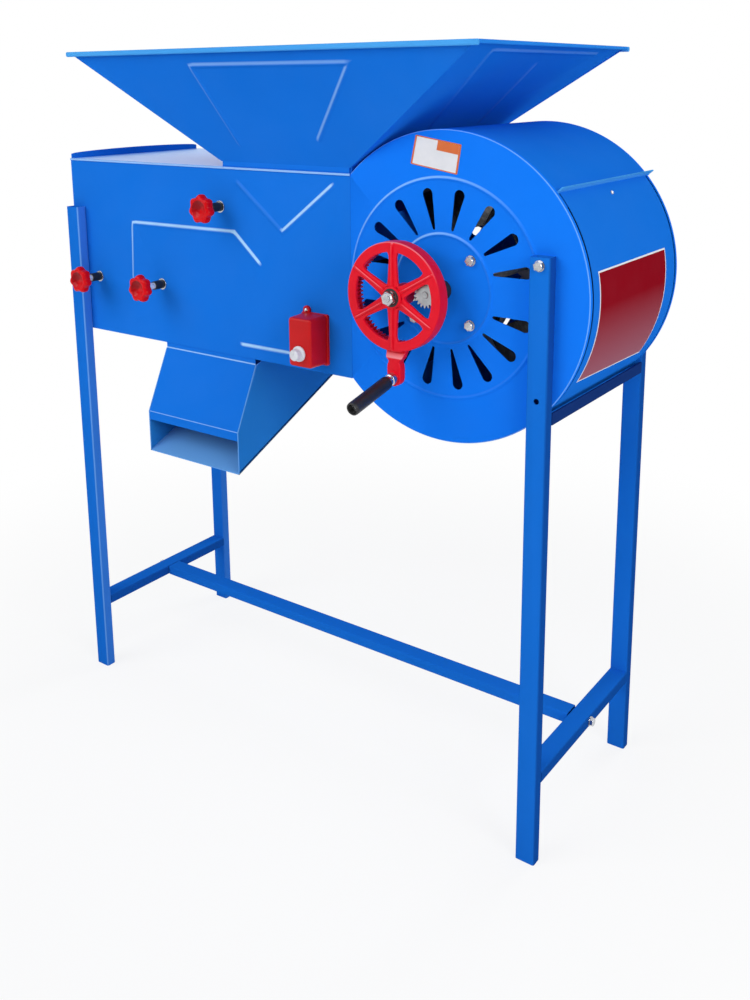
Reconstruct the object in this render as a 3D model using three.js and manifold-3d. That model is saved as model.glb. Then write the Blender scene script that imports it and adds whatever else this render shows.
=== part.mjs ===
// Winnowing machine: a sheet-metal fan drum blows along a duct, below a hopper
// and above a grain chute, on a four-legged tube frame. A geared hand crank and
// a motor drive the fan. Millimetres, +Z up; +X runs from the duct's mouth to
// the drum, and the operator's side faces -Y.
import * as THREE from "three";
import { mergeVertices } from "three/addons/utils/BufferGeometryUtils.js";
import Module from "manifold-3d";

const wasm = await Module();
wasm.setup();

// Driving dimensions of the whole machine
const axisHeight = 901; // fan axis above the floor
const caseWidth = 339; // over the two side sheets of the duct and drum
const drumRadius = 240;
const ductHalfHeight = 167;
const ductLength = 679; // from the drum's seam to the mouth
const sheet = 1.5; // every formed sheet
const fit = 0.3; // clearance between pieces that touch
const overrun = 5; // how far a cutting shape runs past what it cuts

// Pressed beads and rings that stiffen the sheets
const bead = { width: 6, height: 1.6, crown: 1.6 };
const ring = { outerRadius: 168, outerSteps: 48, innerRadius: 84, innerSteps: 32 };

// Drum sheets
const drumFlange = 7; // rim of a side disc, bent over the shell
const doorGap = 4.4; // visible slit between the door and the side discs
const doorTopAngle = 40.5;
const doorBottomAngle = -62;
const doorLip = 10;
const doorLipThickness = 2.5;
const doorStrip = 26; // half width of the strip below each end of the door
const doorScrewInset = 4; // degrees from the door's edge

// Air slots: drops whose narrow ends stand on equal pitches, left out on the
// horizontal line; each row points away from a spot above or below the axis
const slot = {
  pitches: 18, blankEvery: 9, length: 52, outerRound: 9, outerSteps: 4,
  innerRadius: 94, innerRound: 2.5, innerSteps: 1, aimHeight: 20,
};

// Duct openings along X, and its folded edges
const throatLength = 279; // hopper opening, measured from the seam
const chuteStart = 213.6; // from the seam to the chute's nearer side
const chuteLength = 225;
const mouthLip = { height: 8.5, crown: 5, shares: [0.08, 0.2, 0.35, 0.5, 0.65, 0.8, 0.92] };
const topHem = { height: 4, depth: 1.6 };
const floorStrip = 12; // left behind the chute opening

// Hopper
const hopper = {
  drumGap: 2.9, rise: 187, leftRun: 278, rightRun: 274, overhang: 85, inset: 2, skirt: 8,
  hem: 8.5, hemReach: 5, funnelFall: 92, slit: 26, slitOffset: 142,
};

// Grain chute, seen from its side: depths ahead of the front sheet, and drops
const chute = {
  coverFlange: 12, coverBend: 10, foldReach: 49, foldDrop: 122, lip: 16, mouthDrop: 199, rearDrop: 29,
};

// Tube frame
const tube = { width: 33, depth: 20, wall: 2, footPlate: 4 };
const leg = { leftTop: 75, rightTop: 68, leftInset: 2.5, rightX: 154.5, openHole: 4.5, openHoleZ: -141 };
const lowRail = { top: 156, slit: 2, offset: 10 };
const cradle = { width: 18, height: 18, thickness: 3, drumGap: 4.9 };

// Fasteners: width across flats, head and nut height, washer, shank
const m8 = { flats: 13, head: 5.5, washer: 8.2, washerThickness: 1.6, shank: 4 };
const m6 = { flats: 10, head: 4.2, shank: 3 };
const panScrew = { head: 3.4, headDepth: 2.4, shank: 2, reach: 6 };
const legBolt = { z: 56, insideTop: 40, insideDrop: 110 };
const bracketBolt = 49;

// Fan rotor
const shaft = { radius: 10, spigot: 5, spigotReach: 50, front: 37.5, rear: 26 };
const rotor = {
  blades: 6, bladeRoot: 84, bladeBend: 158, tip: 190, bendAngle: 24, sideGap: 22,
  hubRadius: 28, hubWidth: 30, hubInset: 30, armEnd: 152, armThickness: 4,
};

// Crank wheel with its ring of inner teeth, and the pinion that runs in it
const gear = {
  module: 2, pressureAngle: 20, ringTeeth: 72, pinionTeeth: 18, addendum: 1, dedendum: 1.25, backlash: 0.2,
  bearing: 188.5, // direction of the crank's axis from the fan's, in degrees
};
const wheel = {
  radius: 84, back: 34, toothFront: 51, front: 57, openRadius: 68.5, hubRadius: 17, hubBack: 20,
  hubFront: 61, spokes: 6, spokeRoot: 17, spokeTip: 12, ribWidth: 3.2, ribHeight: 2.4,
};
const pinion = { back: 38, front: 49 };
const crankArm = {
  root: 80, neck: 100, reach: 125, end: 139, rootWidth: 34, neckWidth: 19, padWidth: 25,
  rootBack: 36, rootFront: 47, padBack: 40, padFront: 54, boss: 10, bossLength: 3,
};
const handle = {
  tilt: 12.4, collar: 8.5, collarLength: 7, grip: 10.5, gripLength: 98, bolt: 4.5,
  pocket: 7.6, pocketDepth: 12,
};
const stud = {
  radius: 8, shoulder: 12, collar: 15, collarDepth: 6, thread: 6, threadReach: 74,
  nutFlats: 19, nutHeight: 10,
};

// Bearings and the bracket plate behind the front disc
const bracket = { half: 62, thickness: 4 };
const bearing = { nose: 15, noseReach: 12, flange: 32, flangeDepth: 7 };

// Motor on the rear disc
const motor = {
  flange: 66, flangeDepth: 8, body: 56, bodyDepth: 62, bell: 54, bellDepth: 22, domeRadius: 40,
  depth: 104, boltCircle: 61, bolts: 4, shaftRoom: 6,
};

// Star-knob adjusters: place of the axis from the seam and above the duct's
// floor; the tail one is set from the mouth, beside which its flap hangs
const adjusterRod = 6;
const sleeveRadius = 8;
const washer = { radius: 10.5, thickness: 2 };
const flapThickness = 2;
const flapSideGap = 14;
const flapBend = { share: 0.72, angle: 18 };
const starKnob = {
  radius: 25.5, scallop: 0.075, lobes: 7, lobeSteps: 5, depth: 16, backShare: 0.88, frontShare: 0.98,
  faceShare: 0.8, hub: 11, hubDepth: 6, dimple: 8.5, dimpleDepth: 3.5, cover: 5,
};
const upperAdjuster = {
  name: "upper", fromSeam: 283.6, height: 264.5, reach: 54, sleeveLength: 22,
  flapLength: 104, flapAngle: 205,
};
const middleAdjuster = {
  name: "middle", fromSeam: 438.6, height: 111, reach: 63, sleeveLength: 20,
  flapLength: 92, flapAngle: 270,
};
const tailFromMouth = 65.4;
const tailAdjuster = {
  name: "tail", fromSeam: ductLength - tailFromMouth, height: 108, reach: 56, sleeveLength: 20,
  flapLength: 86, flapAngle: 270,
};
const adjusters = [upperAdjuster, middleAdjuster, tailAdjuster];

// Switch box on the duct's front sheet, and its speed knob
const box = {
  fromSeam: 48.6, width: 49, flangeLeft: 4, flangeRight: 2, topHeight: 101, height: 81,
  flangeHeight: 86, flange: 4.7, depth: 46, round: 4, roundSteps: 3, draft: 1.2,
  ear: 7, earFromSeam: 91.6, earRise: 10.5,
};
const speedKnob = {
  fromSeam: 73.6, height: 41, skirt: 13, skirtDepth: 3, cap: 9, depth: 15, post: 3, round: 1.5,
  draft: 0.4, ribHeight: 1,
};

// Round stretches: steps for a full turn
const stepsLarge = 60;
const stepsRing = 48;
const stepsMedium = 24;
const stepsFine = 16;
const stepsSmall = 12;
const stepsShank = 8;

// Places that follow from the sizes above
const radians = THREE.MathUtils.degToRad;
const seamX = -Math.sqrt(drumRadius ** 2 - ductHalfHeight ** 2);
const seamAngle = THREE.MathUtils.radToDeg(Math.atan2(ductHalfHeight, seamX));
const mouthX = seamX - ductLength;
const throatX = seamX - throatLength;
const chuteRightX = seamX - chuteStart;
const chuteLeftX = chuteRightX - chuteLength;
const leftLegX = mouthX + leg.leftInset;
const boxRight = seamX - box.fromSeam;
const boxTop = box.topHeight - ductHalfHeight;
const earX = seamX - box.earFromSeam;
const earZ = boxTop + box.earRise - box.ear;
const innerFront = sheet + fit;
const innerBack = caseWidth - innerFront;
const floorZ = -axisHeight;
const gearSpacing = (gear.module * (gear.ringTeeth - gear.pinionTeeth)) / 2;
const crankX = gearSpacing * Math.cos(radians(gear.bearing));
const crankZ = gearSpacing * Math.sin(radians(gear.bearing));

// Finishes
const paint = { color: 0x1871dc, roughness: 0.35, metalness: 0.1 };
const paintDisc = { color: 0x127dff, roughness: 0.35, metalness: 0.1 };
const paintRed = { color: 0xeb0a32, roughness: 0.4, metalness: 0.1 };
const plasticRed = { color: 0xcd1419, roughness: 0.45, metalness: 0 };
const plasticWhite = { color: 0xf0f0f0, roughness: 0.4, metalness: 0 };
const plasticBlack = { color: 0x16161a, roughness: 0.6, metalness: 0 };
const zinc = { color: 0xc8ccd0, roughness: 0.3, metalness: 0.9 };
const steel = { color: 0x9ea2a6, roughness: 0.45, metalness: 0.8 };
const castBlack = { color: 0x1c1d20, roughness: 0.6, metalness: 0.4 };
const castGrey = { color: 0x5a5f66, roughness: 0.6, metalness: 0.3 };

// Keeps a geometry's shared corner points only, with no collapsed faces.
function welded(geometry) {
  const bare = geometry.clone();
  for (const name of Object.keys(bare.attributes)) {
    if (name !== "position") bare.deleteAttribute(name);
  }
  const merged = mergeVertices(bare);
  const index = merged.getIndex().array;
  const kept = [];
  for (let i = 0; i < index.length; i += 3) {
    const [a, b, c] = [index[i], index[i + 1], index[i + 2]];
    if (a !== b && b !== c && c !== a) kept.push(a, b, c);
  }
  merged.setIndex(kept);
  return volumeOf(merged) < 0 ? flipped(merged) : merged;
}

// Signed volume of a closed indexed geometry.
function volumeOf(geometry) {
  const place = geometry.getAttribute("position");
  const index = geometry.getIndex().array;
  const [a, b, c] = [new THREE.Vector3(), new THREE.Vector3(), new THREE.Vector3()];
  let volume = 0;
  for (let i = 0; i < index.length; i += 3) {
    a.fromBufferAttribute(place, index[i]);
    b.fromBufferAttribute(place, index[i + 1]);
    c.fromBufferAttribute(place, index[i + 2]);
    volume += a.dot(b.cross(c));
  }
  return volume;
}

// The same faces, looking the other way.
function flipped(geometry) {
  const index = Array.from(geometry.getIndex().array);
  for (let i = 0; i < index.length; i += 3) {
    [index[i], index[i + 1]] = [index[i + 1], index[i]];
  }
  geometry.setIndex(index);
  return geometry;
}

function toSolid(geometry) {
  const closed = welded(geometry);
  const vertProperties = new Float32Array(closed.getAttribute("position").array);
  const triVerts = new Uint32Array(closed.getIndex().array);
  return new wasm.Manifold(new wasm.Mesh({ numProp: 3, vertProperties, triVerts }));
}

function fromSolid(solid) {
  const mesh = solid.getMesh();
  const geometry = new THREE.BufferGeometry();
  geometry.setAttribute("position", new THREE.BufferAttribute(new Float32Array(mesh.vertProperties), 3));
  geometry.setIndex(Array.from(mesh.triVerts));
  return geometry;
}

function join(...geometries) {
  return fromSolid(geometries.map(toSolid).reduce((sum, next) => sum.add(next)));
}

function cut(geometry, ...tools) {
  return fromSolid([geometry, ...tools].map(toSolid).reduce((rest, tool) => rest.subtract(tool)));
}

function common(geometry, other) {
  return fromSolid(toSolid(geometry).intersect(toSolid(other)));
}

function span(a, b) {
  return [Math.min(a, b), Math.max(a, b)];
}

function shapeOf(points, holes = []) {
  const shape = new THREE.Shape(points.map(([u, v]) => new THREE.Vector2(u, v)));
  shape.holes = holes.map((hole) => new THREE.Path(hole.map(([u, v]) => new THREE.Vector2(u, v))));
  return shape;
}

const axisX = new THREE.Vector3(1, 0, 0);
const axisY = new THREE.Vector3(0, 1, 0);
const axisZ = new THREE.Vector3(0, 0, 1);
const facingFront = new THREE.Matrix4().makeBasis(axisX, axisZ, axisY.clone().negate());
const facingSide = new THREE.Matrix4().makeBasis(axisY, axisZ, axisX);

// An outline with its holes, filled up to a depth along its own third axis.
function filled(points, holes, depth) {
  return new THREE.ExtrudeGeometry(shapeOf(points, holes), { depth, bevelEnabled: false });
}

// An outline in (x, z), filled from one depth to another.
function alongY(points, from, to, holes = []) {
  return filled(points, holes, to - from).applyMatrix4(facingFront).translate(0, to, 0);
}

// An outline in (y, z), filled from one x to another.
function alongX(points, from, to, holes = []) {
  return filled(points, holes, to - from).applyMatrix4(facingSide).translate(from, 0, 0);
}

// An outline in (x, y), filled from one height to another.
function alongZ(points, from, to, holes = []) {
  return filled(points, holes, to - from).translate(0, 0, from);
}

function block([x0, x1], [y0, y1], [z0, z1]) {
  const geometry = new THREE.BoxGeometry(x1 - x0, y1 - y0, z1 - z0);
  return geometry.translate((x0 + x1) / 2, (y0 + y1) / 2, (z0 + z1) / 2);
}

// A profile of [radius, y] turned about an axis along Y through (x, z).
function turned(profile, x, z, steps = stepsMedium) {
  const points = profile.map(([radius, y]) => new THREE.Vector2(radius, y));
  return new THREE.LatheGeometry(points, steps).translate(x, 0, z);
}

// A plain round bar along Y.
function bar(radius, from, to, x, z, steps = stepsSmall) {
  return turned([[0, from], [radius, from], [radius, to], [0, to]], x, z, steps);
}

// A plain round bar along X.
function barAlongX(radius, from, to, y, z, steps = stepsSmall) {
  return new THREE.CylinderGeometry(radius, radius, to - from, steps)
    .rotateZ(Math.PI / 2)
    .translate((from + to) / 2, y, z);
}

function polar(radius, degrees, x = 0, z = 0) {
  const turn = radians(degrees);
  return [x + radius * Math.cos(turn), z + radius * Math.sin(turn)];
}

function arc(radius, from, to, steps, x = 0, z = 0) {
  return Array.from({ length: steps + 1 }, (_, i) => polar(radius, from + ((to - from) * i) / steps, x, z));
}

function arcSteps(from, to) {
  return Math.ceil((Math.abs(to - from) / 360) * stepsLarge);
}

// A curved band between two radii.
function band(inner, outer, from, to) {
  const steps = arcSteps(from, to);
  return [...arc(outer, from, to, steps), ...arc(inner, to, from, steps)];
}

function rectangle(u0, u1, v0, v1) {
  return [[u0, v0], [u1, v0], [u1, v1], [u0, v1]];
}

function circle(radius, steps, x = 0, z = 0) {
  return arc(radius, 0, 360, steps, x, z).slice(0, steps);
}

// The closed outline of a bent sheet that follows a line of points.
function sheetOutline(points, thickness) {
  const left = [];
  const right = [];
  points.forEach(([u, v], i) => {
    const before = points[Math.max(i - 1, 0)];
    const after = points[Math.min(i + 1, points.length - 1)];
    const inward = new THREE.Vector2(u - before[0], v - before[1]).normalize();
    const outward = new THREE.Vector2(after[0] - u, after[1] - v).normalize();
    const along = inward.clone().add(outward).normalize();
    const reference = inward.length() > 0 ? inward : outward;
    const half = thickness / 2 / along.dot(reference);
    left.push([u - along.y * half, v + along.x * half]);
    right.unshift([u + along.y * half, v - along.x * half]);
  });
  return [...left, ...right];
}

// A solid through a row of closed rings of points, closed at both ends.
function loft(rings) {
  const count = rings[0].length;
  const places = rings.flat();
  const index = [];
  for (let r = 0; r + 1 < rings.length; r += 1) {
    for (let i = 0; i < count; i += 1) {
      const next = (i + 1) % count;
      const [a, b] = [r * count + i, r * count + next];
      const [c, d] = [a + count, b + count];
      index.push(a, b, d, a, d, c);
    }
  }
  const last = (rings.length - 1) * count;
  for (const [start, forward] of [[0, false], [last, true]]) {
    const middle = new THREE.Vector3();
    for (let i = 0; i < count; i += 1) middle.addScaledVector(places[start + i], 1 / count);
    const centre = places.push(middle) - 1;
    for (let i = 0; i < count; i += 1) {
      const [a, b] = [start + i, start + ((i + 1) % count)];
      index.push(centre, forward ? a : b, forward ? b : a);
    }
  }
  const geometry = new THREE.BufferGeometry().setFromPoints(places);
  geometry.setIndex(index);
  return geometry;
}

// A pressed bead along a line of points on the plane z = 0: a low ridge with
// sloping sides that runs out at both ends, sunk half a sheet into the plane.
function beadLine(points) {
  const line = points.map(([u, v]) => new THREE.Vector2(u, v));
  const last = line.length - 1;
  const runOut = (from, to) => to.clone().sub(from).setLength(bead.width).add(from);
  const path = [
    line[0], runOut(line[0], line[1]), ...line.slice(1, last),
    runOut(line[last], line[last - 1]), line[last],
  ];
  const rings = path.map((place, i) => {
    const before = place.clone().sub(path[Math.max(i - 1, 0)]).normalize();
    const after = path[Math.min(i + 1, path.length - 1)].clone().sub(place).normalize();
    const along = before.clone().add(after).normalize();
    const stretch = Math.max(along.dot(after), along.dot(before));
    const half = bead.width / 2 / stretch;
    const top = (bead.width / 2 - bead.crown) / stretch;
    const isEnd = i === 0 || i === path.length - 1;
    const height = isEnd ? 0 : bead.height;
    const side = (reach, z) => new THREE.Vector3(place.x - along.y * reach, place.y + along.x * reach, z);
    return [side(-half, -sheet / 2), side(half, -sheet / 2), side(top, height), side(-top, height)];
  });
  return loft(rings);
}

// A ring pressed forward out of a front disc, as a low crowned ridge.
function beadRing(radius, steps) {
  const half = bead.width / 2;
  const inner = half - bead.crown;
  const root = sheet / 2;
  const profile = [[radius - half, root], [radius - half, 0], [radius - inner, -bead.height],
    [radius + inner, -bead.height], [radius + half, 0], [radius + half, root], [radius - half, root]];
  return turned(profile, 0, 0, steps);
}

function hexagon(flats, x = 0, z = 0) {
  return circle(flats / 2 / Math.cos(Math.PI / 6), 6, x, z);
}

// A hexagon bolt along Y whose head stands on one face, with its end at another.
function studAlongY(size, x, z, seat, end) {
  const headEnd = seat + Math.sign(seat - end) * size.head;
  return join(
    alongY(hexagon(size.flats, x, z), ...span(seat, headEnd)),
    bar(size.shank, ...span(headEnd - Math.sign(seat - end) * fit, end), x, z, stepsShank),
  );
}

// The same with a washer under its head, and a nut on the far face.
function boltAlongY(size, x, z, seat, nutSeat) {
  const out = Math.sign(seat - nutSeat);
  const washerEnd = seat + out * size.washerThickness;
  const nutEnd = nutSeat - out * size.head;
  return join(
    bar(size.washer, ...span(seat, washerEnd), x, z),
    studAlongY(size, x, z, washerEnd, nutEnd - out * fit),
    alongY(hexagon(size.flats, x, z), ...span(nutSeat, nutEnd)),
  );
}

const machine = new THREE.Group();
machine.name = "winnowing_machine";
const works = new THREE.Group();
works.position.z = axisHeight;
machine.add(works);

function add(name, geometry, finish) {
  const tidy = welded(geometry);
  tidy.computeVertexNormals();
  const mesh = new THREE.Mesh(tidy, new THREE.MeshStandardMaterial(finish));
  mesh.name = name;
  works.add(mesh);
  return mesh;
}

// The two sides are alike: a piece made for the front is mirrored to the back.
function toBack(geometry) {
  const copy = geometry.clone().applyMatrix4(new THREE.Matrix4().makeScale(1, -1, 1));
  return copy.translate(0, caseWidth, 0);
}

// Fan discs: a round sheet that ends at the seam, with a rim bent inwards, air
// slots, two pressed rings, and holes for the bearing and its bracket.
function slotOutline(degrees) {
  const [x, z] = polar(slot.innerRadius, degrees);
  const aim = THREE.MathUtils.radToDeg(Math.atan2(z - Math.sign(z) * slot.aimHeight, x));
  return [
    ...arc(slot.outerRound, aim - 90, aim + 90, slot.outerSteps, ...polar(slot.length, aim, x, z)),
    ...arc(slot.innerRound, aim + 90, aim + 270, slot.innerSteps, x, z),
  ];
}

function fanDisc(holes) {
  const face = [...arc(drumRadius, -seamAngle, seamAngle, arcSteps(-seamAngle, seamAngle))];
  const slots = [];
  for (let i = 0; i < slot.pitches; i += 1) {
    const outline = slotOutline((i * 360) / slot.pitches);
    if (i % slot.blankEvery !== 0) slots.push(alongY(outline, -overrun, overrun));
  }
  const plate = alongY(face, 0, sheet);
  const rim = alongY(band(drumRadius - sheet, drumRadius, -seamAngle, seamAngle), 0, drumFlange);
  const outerRing = beadRing(ring.outerRadius, ring.outerSteps);
  const innerRing = beadRing(ring.innerRadius, ring.innerSteps);
  const room = alongY(face, -overrun, sheet);
  const rings = common(cut(join(outerRing, innerRing), legClearance()), room);
  return cut(join(plate, rim, rings), ...slots, ...holes);
}

// Room behind the right leg, where the pressed ring is left flat.
function legClearance() {
  const x = [leg.rightX - fit, leg.rightX + tube.width + fit];
  return block(x, [-tube.depth, 0], [-axisHeight, leg.rightTop + fit]);
}

const bracketCorners = [[-1, -1], [1, -1], [1, 1], [-1, 1]].map(([i, j]) =>
  [i * bracketBolt, j * bracketBolt]);
const boltHole = (size, x, z) => bar(size.shank + fit, -overrun, overrun, x, z, stepsShank);
const bracketHoles = bracketCorners.map(([x, z]) => boltHole(m8, x, z));
const rightLegBoltX = leg.rightX + tube.width / 2;
const frontDiscHoles = [
  ...bracketHoles,
  bar(bearing.nose + fit, -overrun, overrun, 0, 0, stepsMedium),
  bar(stud.radius + fit, -overrun, overrun, crankX, crankZ),
  boltHole(m8, rightLegBoltX, legBolt.z),
];
add("fan_front_disc", fanDisc(frontDiscHoles), paintDisc);

const motorBolts = Array.from({ length: motor.bolts }, (_, i) =>
  polar(motor.boltCircle, ((i + 1 / 2) * 360) / motor.bolts));
const rearDiscHoles = [
  ...motorBolts.map(([x, z]) => boltHole(m6, x, z)),
  bar(bearing.nose + fit, -overrun, overrun, 0, 0, stepsMedium),
  boltHole(m8, rightLegBoltX, legBolt.z),
];
add("fan_back_disc", toBack(fanDisc(rearDiscHoles)), paintDisc);

// Drum shell: fixed sheets above and below with a screwed door between them.
// A strip welded under each fixed sheet reaches below the door's edge.
const shellY = [drumFlange + fit, caseWidth - drumFlange - fit];
const doorY = [drumFlange + doorGap, caseWidth - drumFlange - doorGap];
const angleOf = (length) => THREE.MathUtils.radToDeg(length / drumRadius);
const stripRadii = [drumRadius - 2 * sheet - 2 * fit, drumRadius - sheet - 2 * fit];
const stripReach = angleOf(doorStrip);
const doorScrewAngles = [doorTopAngle - doorScrewInset, doorBottomAngle + doorScrewInset];

// Pieces made along +X at mid width, then turned up to their angle on the drum.
function doorScrew(degrees) {
  const screw = join(
    barAlongX(panScrew.head, drumRadius - sheet / 2, drumRadius + panScrew.headDepth, caseWidth / 2, 0),
    barAlongX(panScrew.shank, drumRadius - panScrew.reach, drumRadius, caseWidth / 2, 0),
  );
  return screw.rotateY(-radians(degrees));
}

function doorScrewHole(degrees) {
  const reach = [drumRadius - panScrew.reach - overrun, drumRadius + overrun];
  return barAlongX(panScrew.shank + fit, ...reach, caseWidth / 2, 0).rotateY(-radians(degrees));
}

// A fixed sheet from one angle to another, with its strip around the first.
function shellSheet(edge, far) {
  const away = Math.sign(far - edge);
  const skin = alongY(band(drumRadius - sheet, drumRadius, ...span(edge, far)), ...shellY);
  const stripSpan = span(edge - away * stripReach, edge + away * stripReach);
  const strip = alongY(band(...stripRadii, ...stripSpan), ...doorY);
  const weld = alongY(band(stripRadii[0], drumRadius - sheet / 2, ...span(edge + (away * stripReach) / 2,
    edge + away * stripReach)), ...doorY);
  return cut(join(skin, strip, weld), ...doorScrewAngles.map(doorScrewHole));
}

add("drum_shell_upper", shellSheet(doorTopAngle + angleOf(doorLipThickness), seamAngle), paint);
add("drum_shell_lower", shellSheet(doorBottomAngle - angleOf(fit), -seamAngle), paint);

const doorSkin = alongY(band(drumRadius - sheet, drumRadius, doorBottomAngle, doorTopAngle), ...doorY);
const lipSheet = block([drumRadius - sheet, drumRadius + doorLip], doorY,
  [-doorLipThickness / 2, doorLipThickness / 2]);
const lipAngle = doorTopAngle + angleOf(doorLipThickness / 2 - fit);
lipSheet.rotateY(-radians(lipAngle));
add("drum_door", join(doorSkin, lipSheet, ...doorScrewAngles.map(doorScrew)), paint);

// Duct: front and back sheets with pressed beads, top sheet, and two floors
const beadShares = {
  guide: [[0.242, -0.35], [0.25, 0.311], [0.627, 0.32], [0.715, 0]],
  funnel: [[0.637, 0.868], [0.79, 0.374], [0.955, 0.89]],
  foot: [[0.634, -0.874], [0.846, -0.874]],
};
const sideBeads = Object.values(beadShares).map((line) =>
  line.map(([along, up]) => [mouthX + along * ductLength, up * ductHalfHeight]));

function onFront(geometry) {
  return geometry.applyMatrix4(facingFront);
}

const leftLegBoltX = leftLegX + tube.width / 2;
const leftLegBolts = [legBolt.insideTop, -legBolt.insideDrop].map((z) => [leftLegBoltX, z]);
const ductPlate = alongY(rectangle(mouthX, seamX - fit, -ductHalfHeight, ductHalfHeight), 0, sheet);
const hem = block([mouthX, seamX - fit], [-topHem.depth, sheet],
  [ductHalfHeight - topHem.height, ductHalfHeight]);
const rodHoles = adjusters.map(({ fromSeam, height }) =>
  bar(adjusterRod + fit, -overrun, overrun, seamX - fromSeam, height - ductHalfHeight));
// The sheet is left flat where a washer or the switch box seats on it
const washerSeats = adjusters.map(({ fromSeam, height }) =>
  bar(washer.radius + fit, -overrun, 0, seamX - fromSeam, height - ductHalfHeight));
const boxSeats = [
  block([boxRight - box.width - box.flangeLeft - fit, boxRight + box.flangeRight + fit], [-overrun, 0],
    [boxTop - box.flangeHeight - fit, boxTop + fit]),
  block([earX - box.ear - fit, earX + box.ear + fit], [-overrun, 0], [boxTop, earZ + box.ear + fit]),
];
const ductBeads = sideBeads.map((line) => onFront(beadLine(line)));
const ductSide = cut(
  join(ductPlate, cut(join(hem, ...ductBeads), ...washerSeats, ...boxSeats)),
  ...rodHoles,
  ...leftLegBolts.map(([x, z]) => boltHole(m8, x, z)),
);
add("duct_front_sheet", ductSide, paint);
add("duct_back_sheet", toBack(ductSide), paint);

const lipTop = ductHalfHeight + mouthLip.height;
const lipArc = mouthLip.shares.map((share) => [
  innerBack + (innerFront - innerBack) * share,
  lipTop + mouthLip.crown * Math.sqrt(Math.sin(Math.PI * share)),
]);
const underTop = ductHalfHeight - sheet;
const mouthRim = alongX(
  [[innerFront, underTop], [innerBack, underTop], [innerBack, lipTop], ...lipArc, [innerFront, lipTop]],
  mouthX, mouthX + 2 * sheet,
);
const topSheet = block([mouthX, throatX - fit], [innerFront, innerBack], [underTop, ductHalfHeight]);
add("duct_top_sheet", join(topSheet, mouthRim), paint);

// The floor is open to the chute, up to a strip along the back
const floorOutline = [
  [mouthX, innerFront], [chuteLeftX + sheet, innerFront], [chuteLeftX + sheet, innerBack - floorStrip],
  [chuteRightX - sheet, innerBack - floorStrip], [chuteRightX - sheet, innerFront],
  [seamX - fit, innerFront], [seamX - fit, innerBack], [mouthX, innerBack],
];
add("duct_floor", alongZ(floorOutline, -ductHalfHeight, sheet - ductHalfHeight), paint);

// Hopper: four leaning walls with mitred corners, each with a hemmed rim and a
// short skirt that drops into the duct's throat. The right wall stands clear of
// the drum, which sets the height of the hopper's foot
const hopperFootX = seamX - 2 * fit;
const rightSlope = Math.hypot(hopper.rightRun, hopper.rise) / hopper.rightRun;
const hopperFootZ = (drumRadius + hopper.drumGap) * rightSlope +
  (hopperFootX * hopper.rise) / hopper.rightRun;
const hopperRimZ = hopperFootZ + hopper.rise;
const hopperFoot = { x: [throatX, hopperFootX], y: [hopper.inset, caseWidth - hopper.inset] };
const hopperRim = {
  x: [hopperFoot.x[0] - hopper.leftRun, hopperFoot.x[1] + hopper.rightRun],
  y: [hopperFoot.y[0] - hopper.overhang, hopperFoot.y[1] + hopper.overhang],
};
const endWall = sheet * Math.hypot(1, hopper.rise / hopper.leftRun);
const sideWall = sheet * Math.hypot(1, hopper.overhang / hopper.rise);

// Corners of one wall at one level: outer pair, then inner pair, set in by the
// walls' own thickness so that the four meet in mitres.
function wallLevel(side, level, z) {
  const [x0, x1] = level.x;
  const [y0, y1] = level.y;
  const inX = [x0 + endWall, x1 - endWall];
  const inY = [y0 + sideWall, y1 - sideWall];
  const corners = {
    front: [[x0 + fit, y0], [x1 - fit, y0], [inX[1] - fit, inY[0]], [inX[0] + fit, inY[0]]],
    back: [[x1 - fit, y1], [x0 + fit, y1], [inX[0] + fit, inY[1]], [inX[1] - fit, inY[1]]],
    left: [[x0, y1 - fit], [x0, y0 + fit], [inX[0], inY[0] + fit], [inX[0], inY[1] - fit]],
    right: [[x1, y0 + fit], [x1, y1 - fit], [inX[1], inY[1] - fit], [inX[1], inY[0] + fit]],
  };
  return corners[side].map(([x, y]) => new THREE.Vector3(x, y, z));
}

const rimHem = [hopperRimZ - hopper.hem, hopperRimZ];
const longHemX = [hopperRim.x[0] - hopper.hemReach, hopperRim.x[1] + hopper.hemReach];
const endHemY = [hopperRim.y[0] + sheet + fit, hopperRim.y[1] - sheet - fit];
const hems = {
  front: block(longHemX, [hopperRim.y[0] - hopper.hemReach, hopperRim.y[0] + sheet], rimHem),
  back: block(longHemX, [hopperRim.y[1] - sheet, hopperRim.y[1] + hopper.hemReach], rimHem),
  left: block([longHemX[0], hopperRim.x[0] + sheet], endHemY, rimHem),
  right: block([hopperRim.x[1] - sheet, longHemX[1]], endHemY, rimHem),
};
const skirtZ = [ductHalfHeight - hopper.skirt, hopperFootZ + sheet / 2];
const skirtX = [hopperFoot.x[0] + endWall + fit, hopperFoot.x[1] - endWall - fit];
const skirtY = [hopperFoot.y[0] + sideWall + fit, hopperFoot.y[1] - sideWall - fit];
const skirts = {
  front: block(skirtX, [hopperFoot.y[0], hopperFoot.y[0] + sheet], skirtZ),
  back: block(skirtX, [hopperFoot.y[1] - sheet, hopperFoot.y[1]], skirtZ),
  left: block([hopperFoot.x[0], hopperFoot.x[0] + sheet], skirtY, skirtZ),
  right: block([hopperFoot.x[1] - sheet, hopperFoot.x[1]], skirtY, skirtZ),
};

// Pressed beads on the hopper, as shares of each wall's width and rise
const frontBeadShares = [[0.407, 0.145], [0.344, 0.852], [0.735, 0.85], [0.61, 0.209]];
const endBeadShares = {
  frame: [[0.384, 0.41], [0.154, 0.93], [0.853, 0.93]],
  middle: [[0.506, 0.92], [0.643, 0.43]],
  cross: [[0.259, 0.69], [0.854, 0.69]],
};

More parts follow.
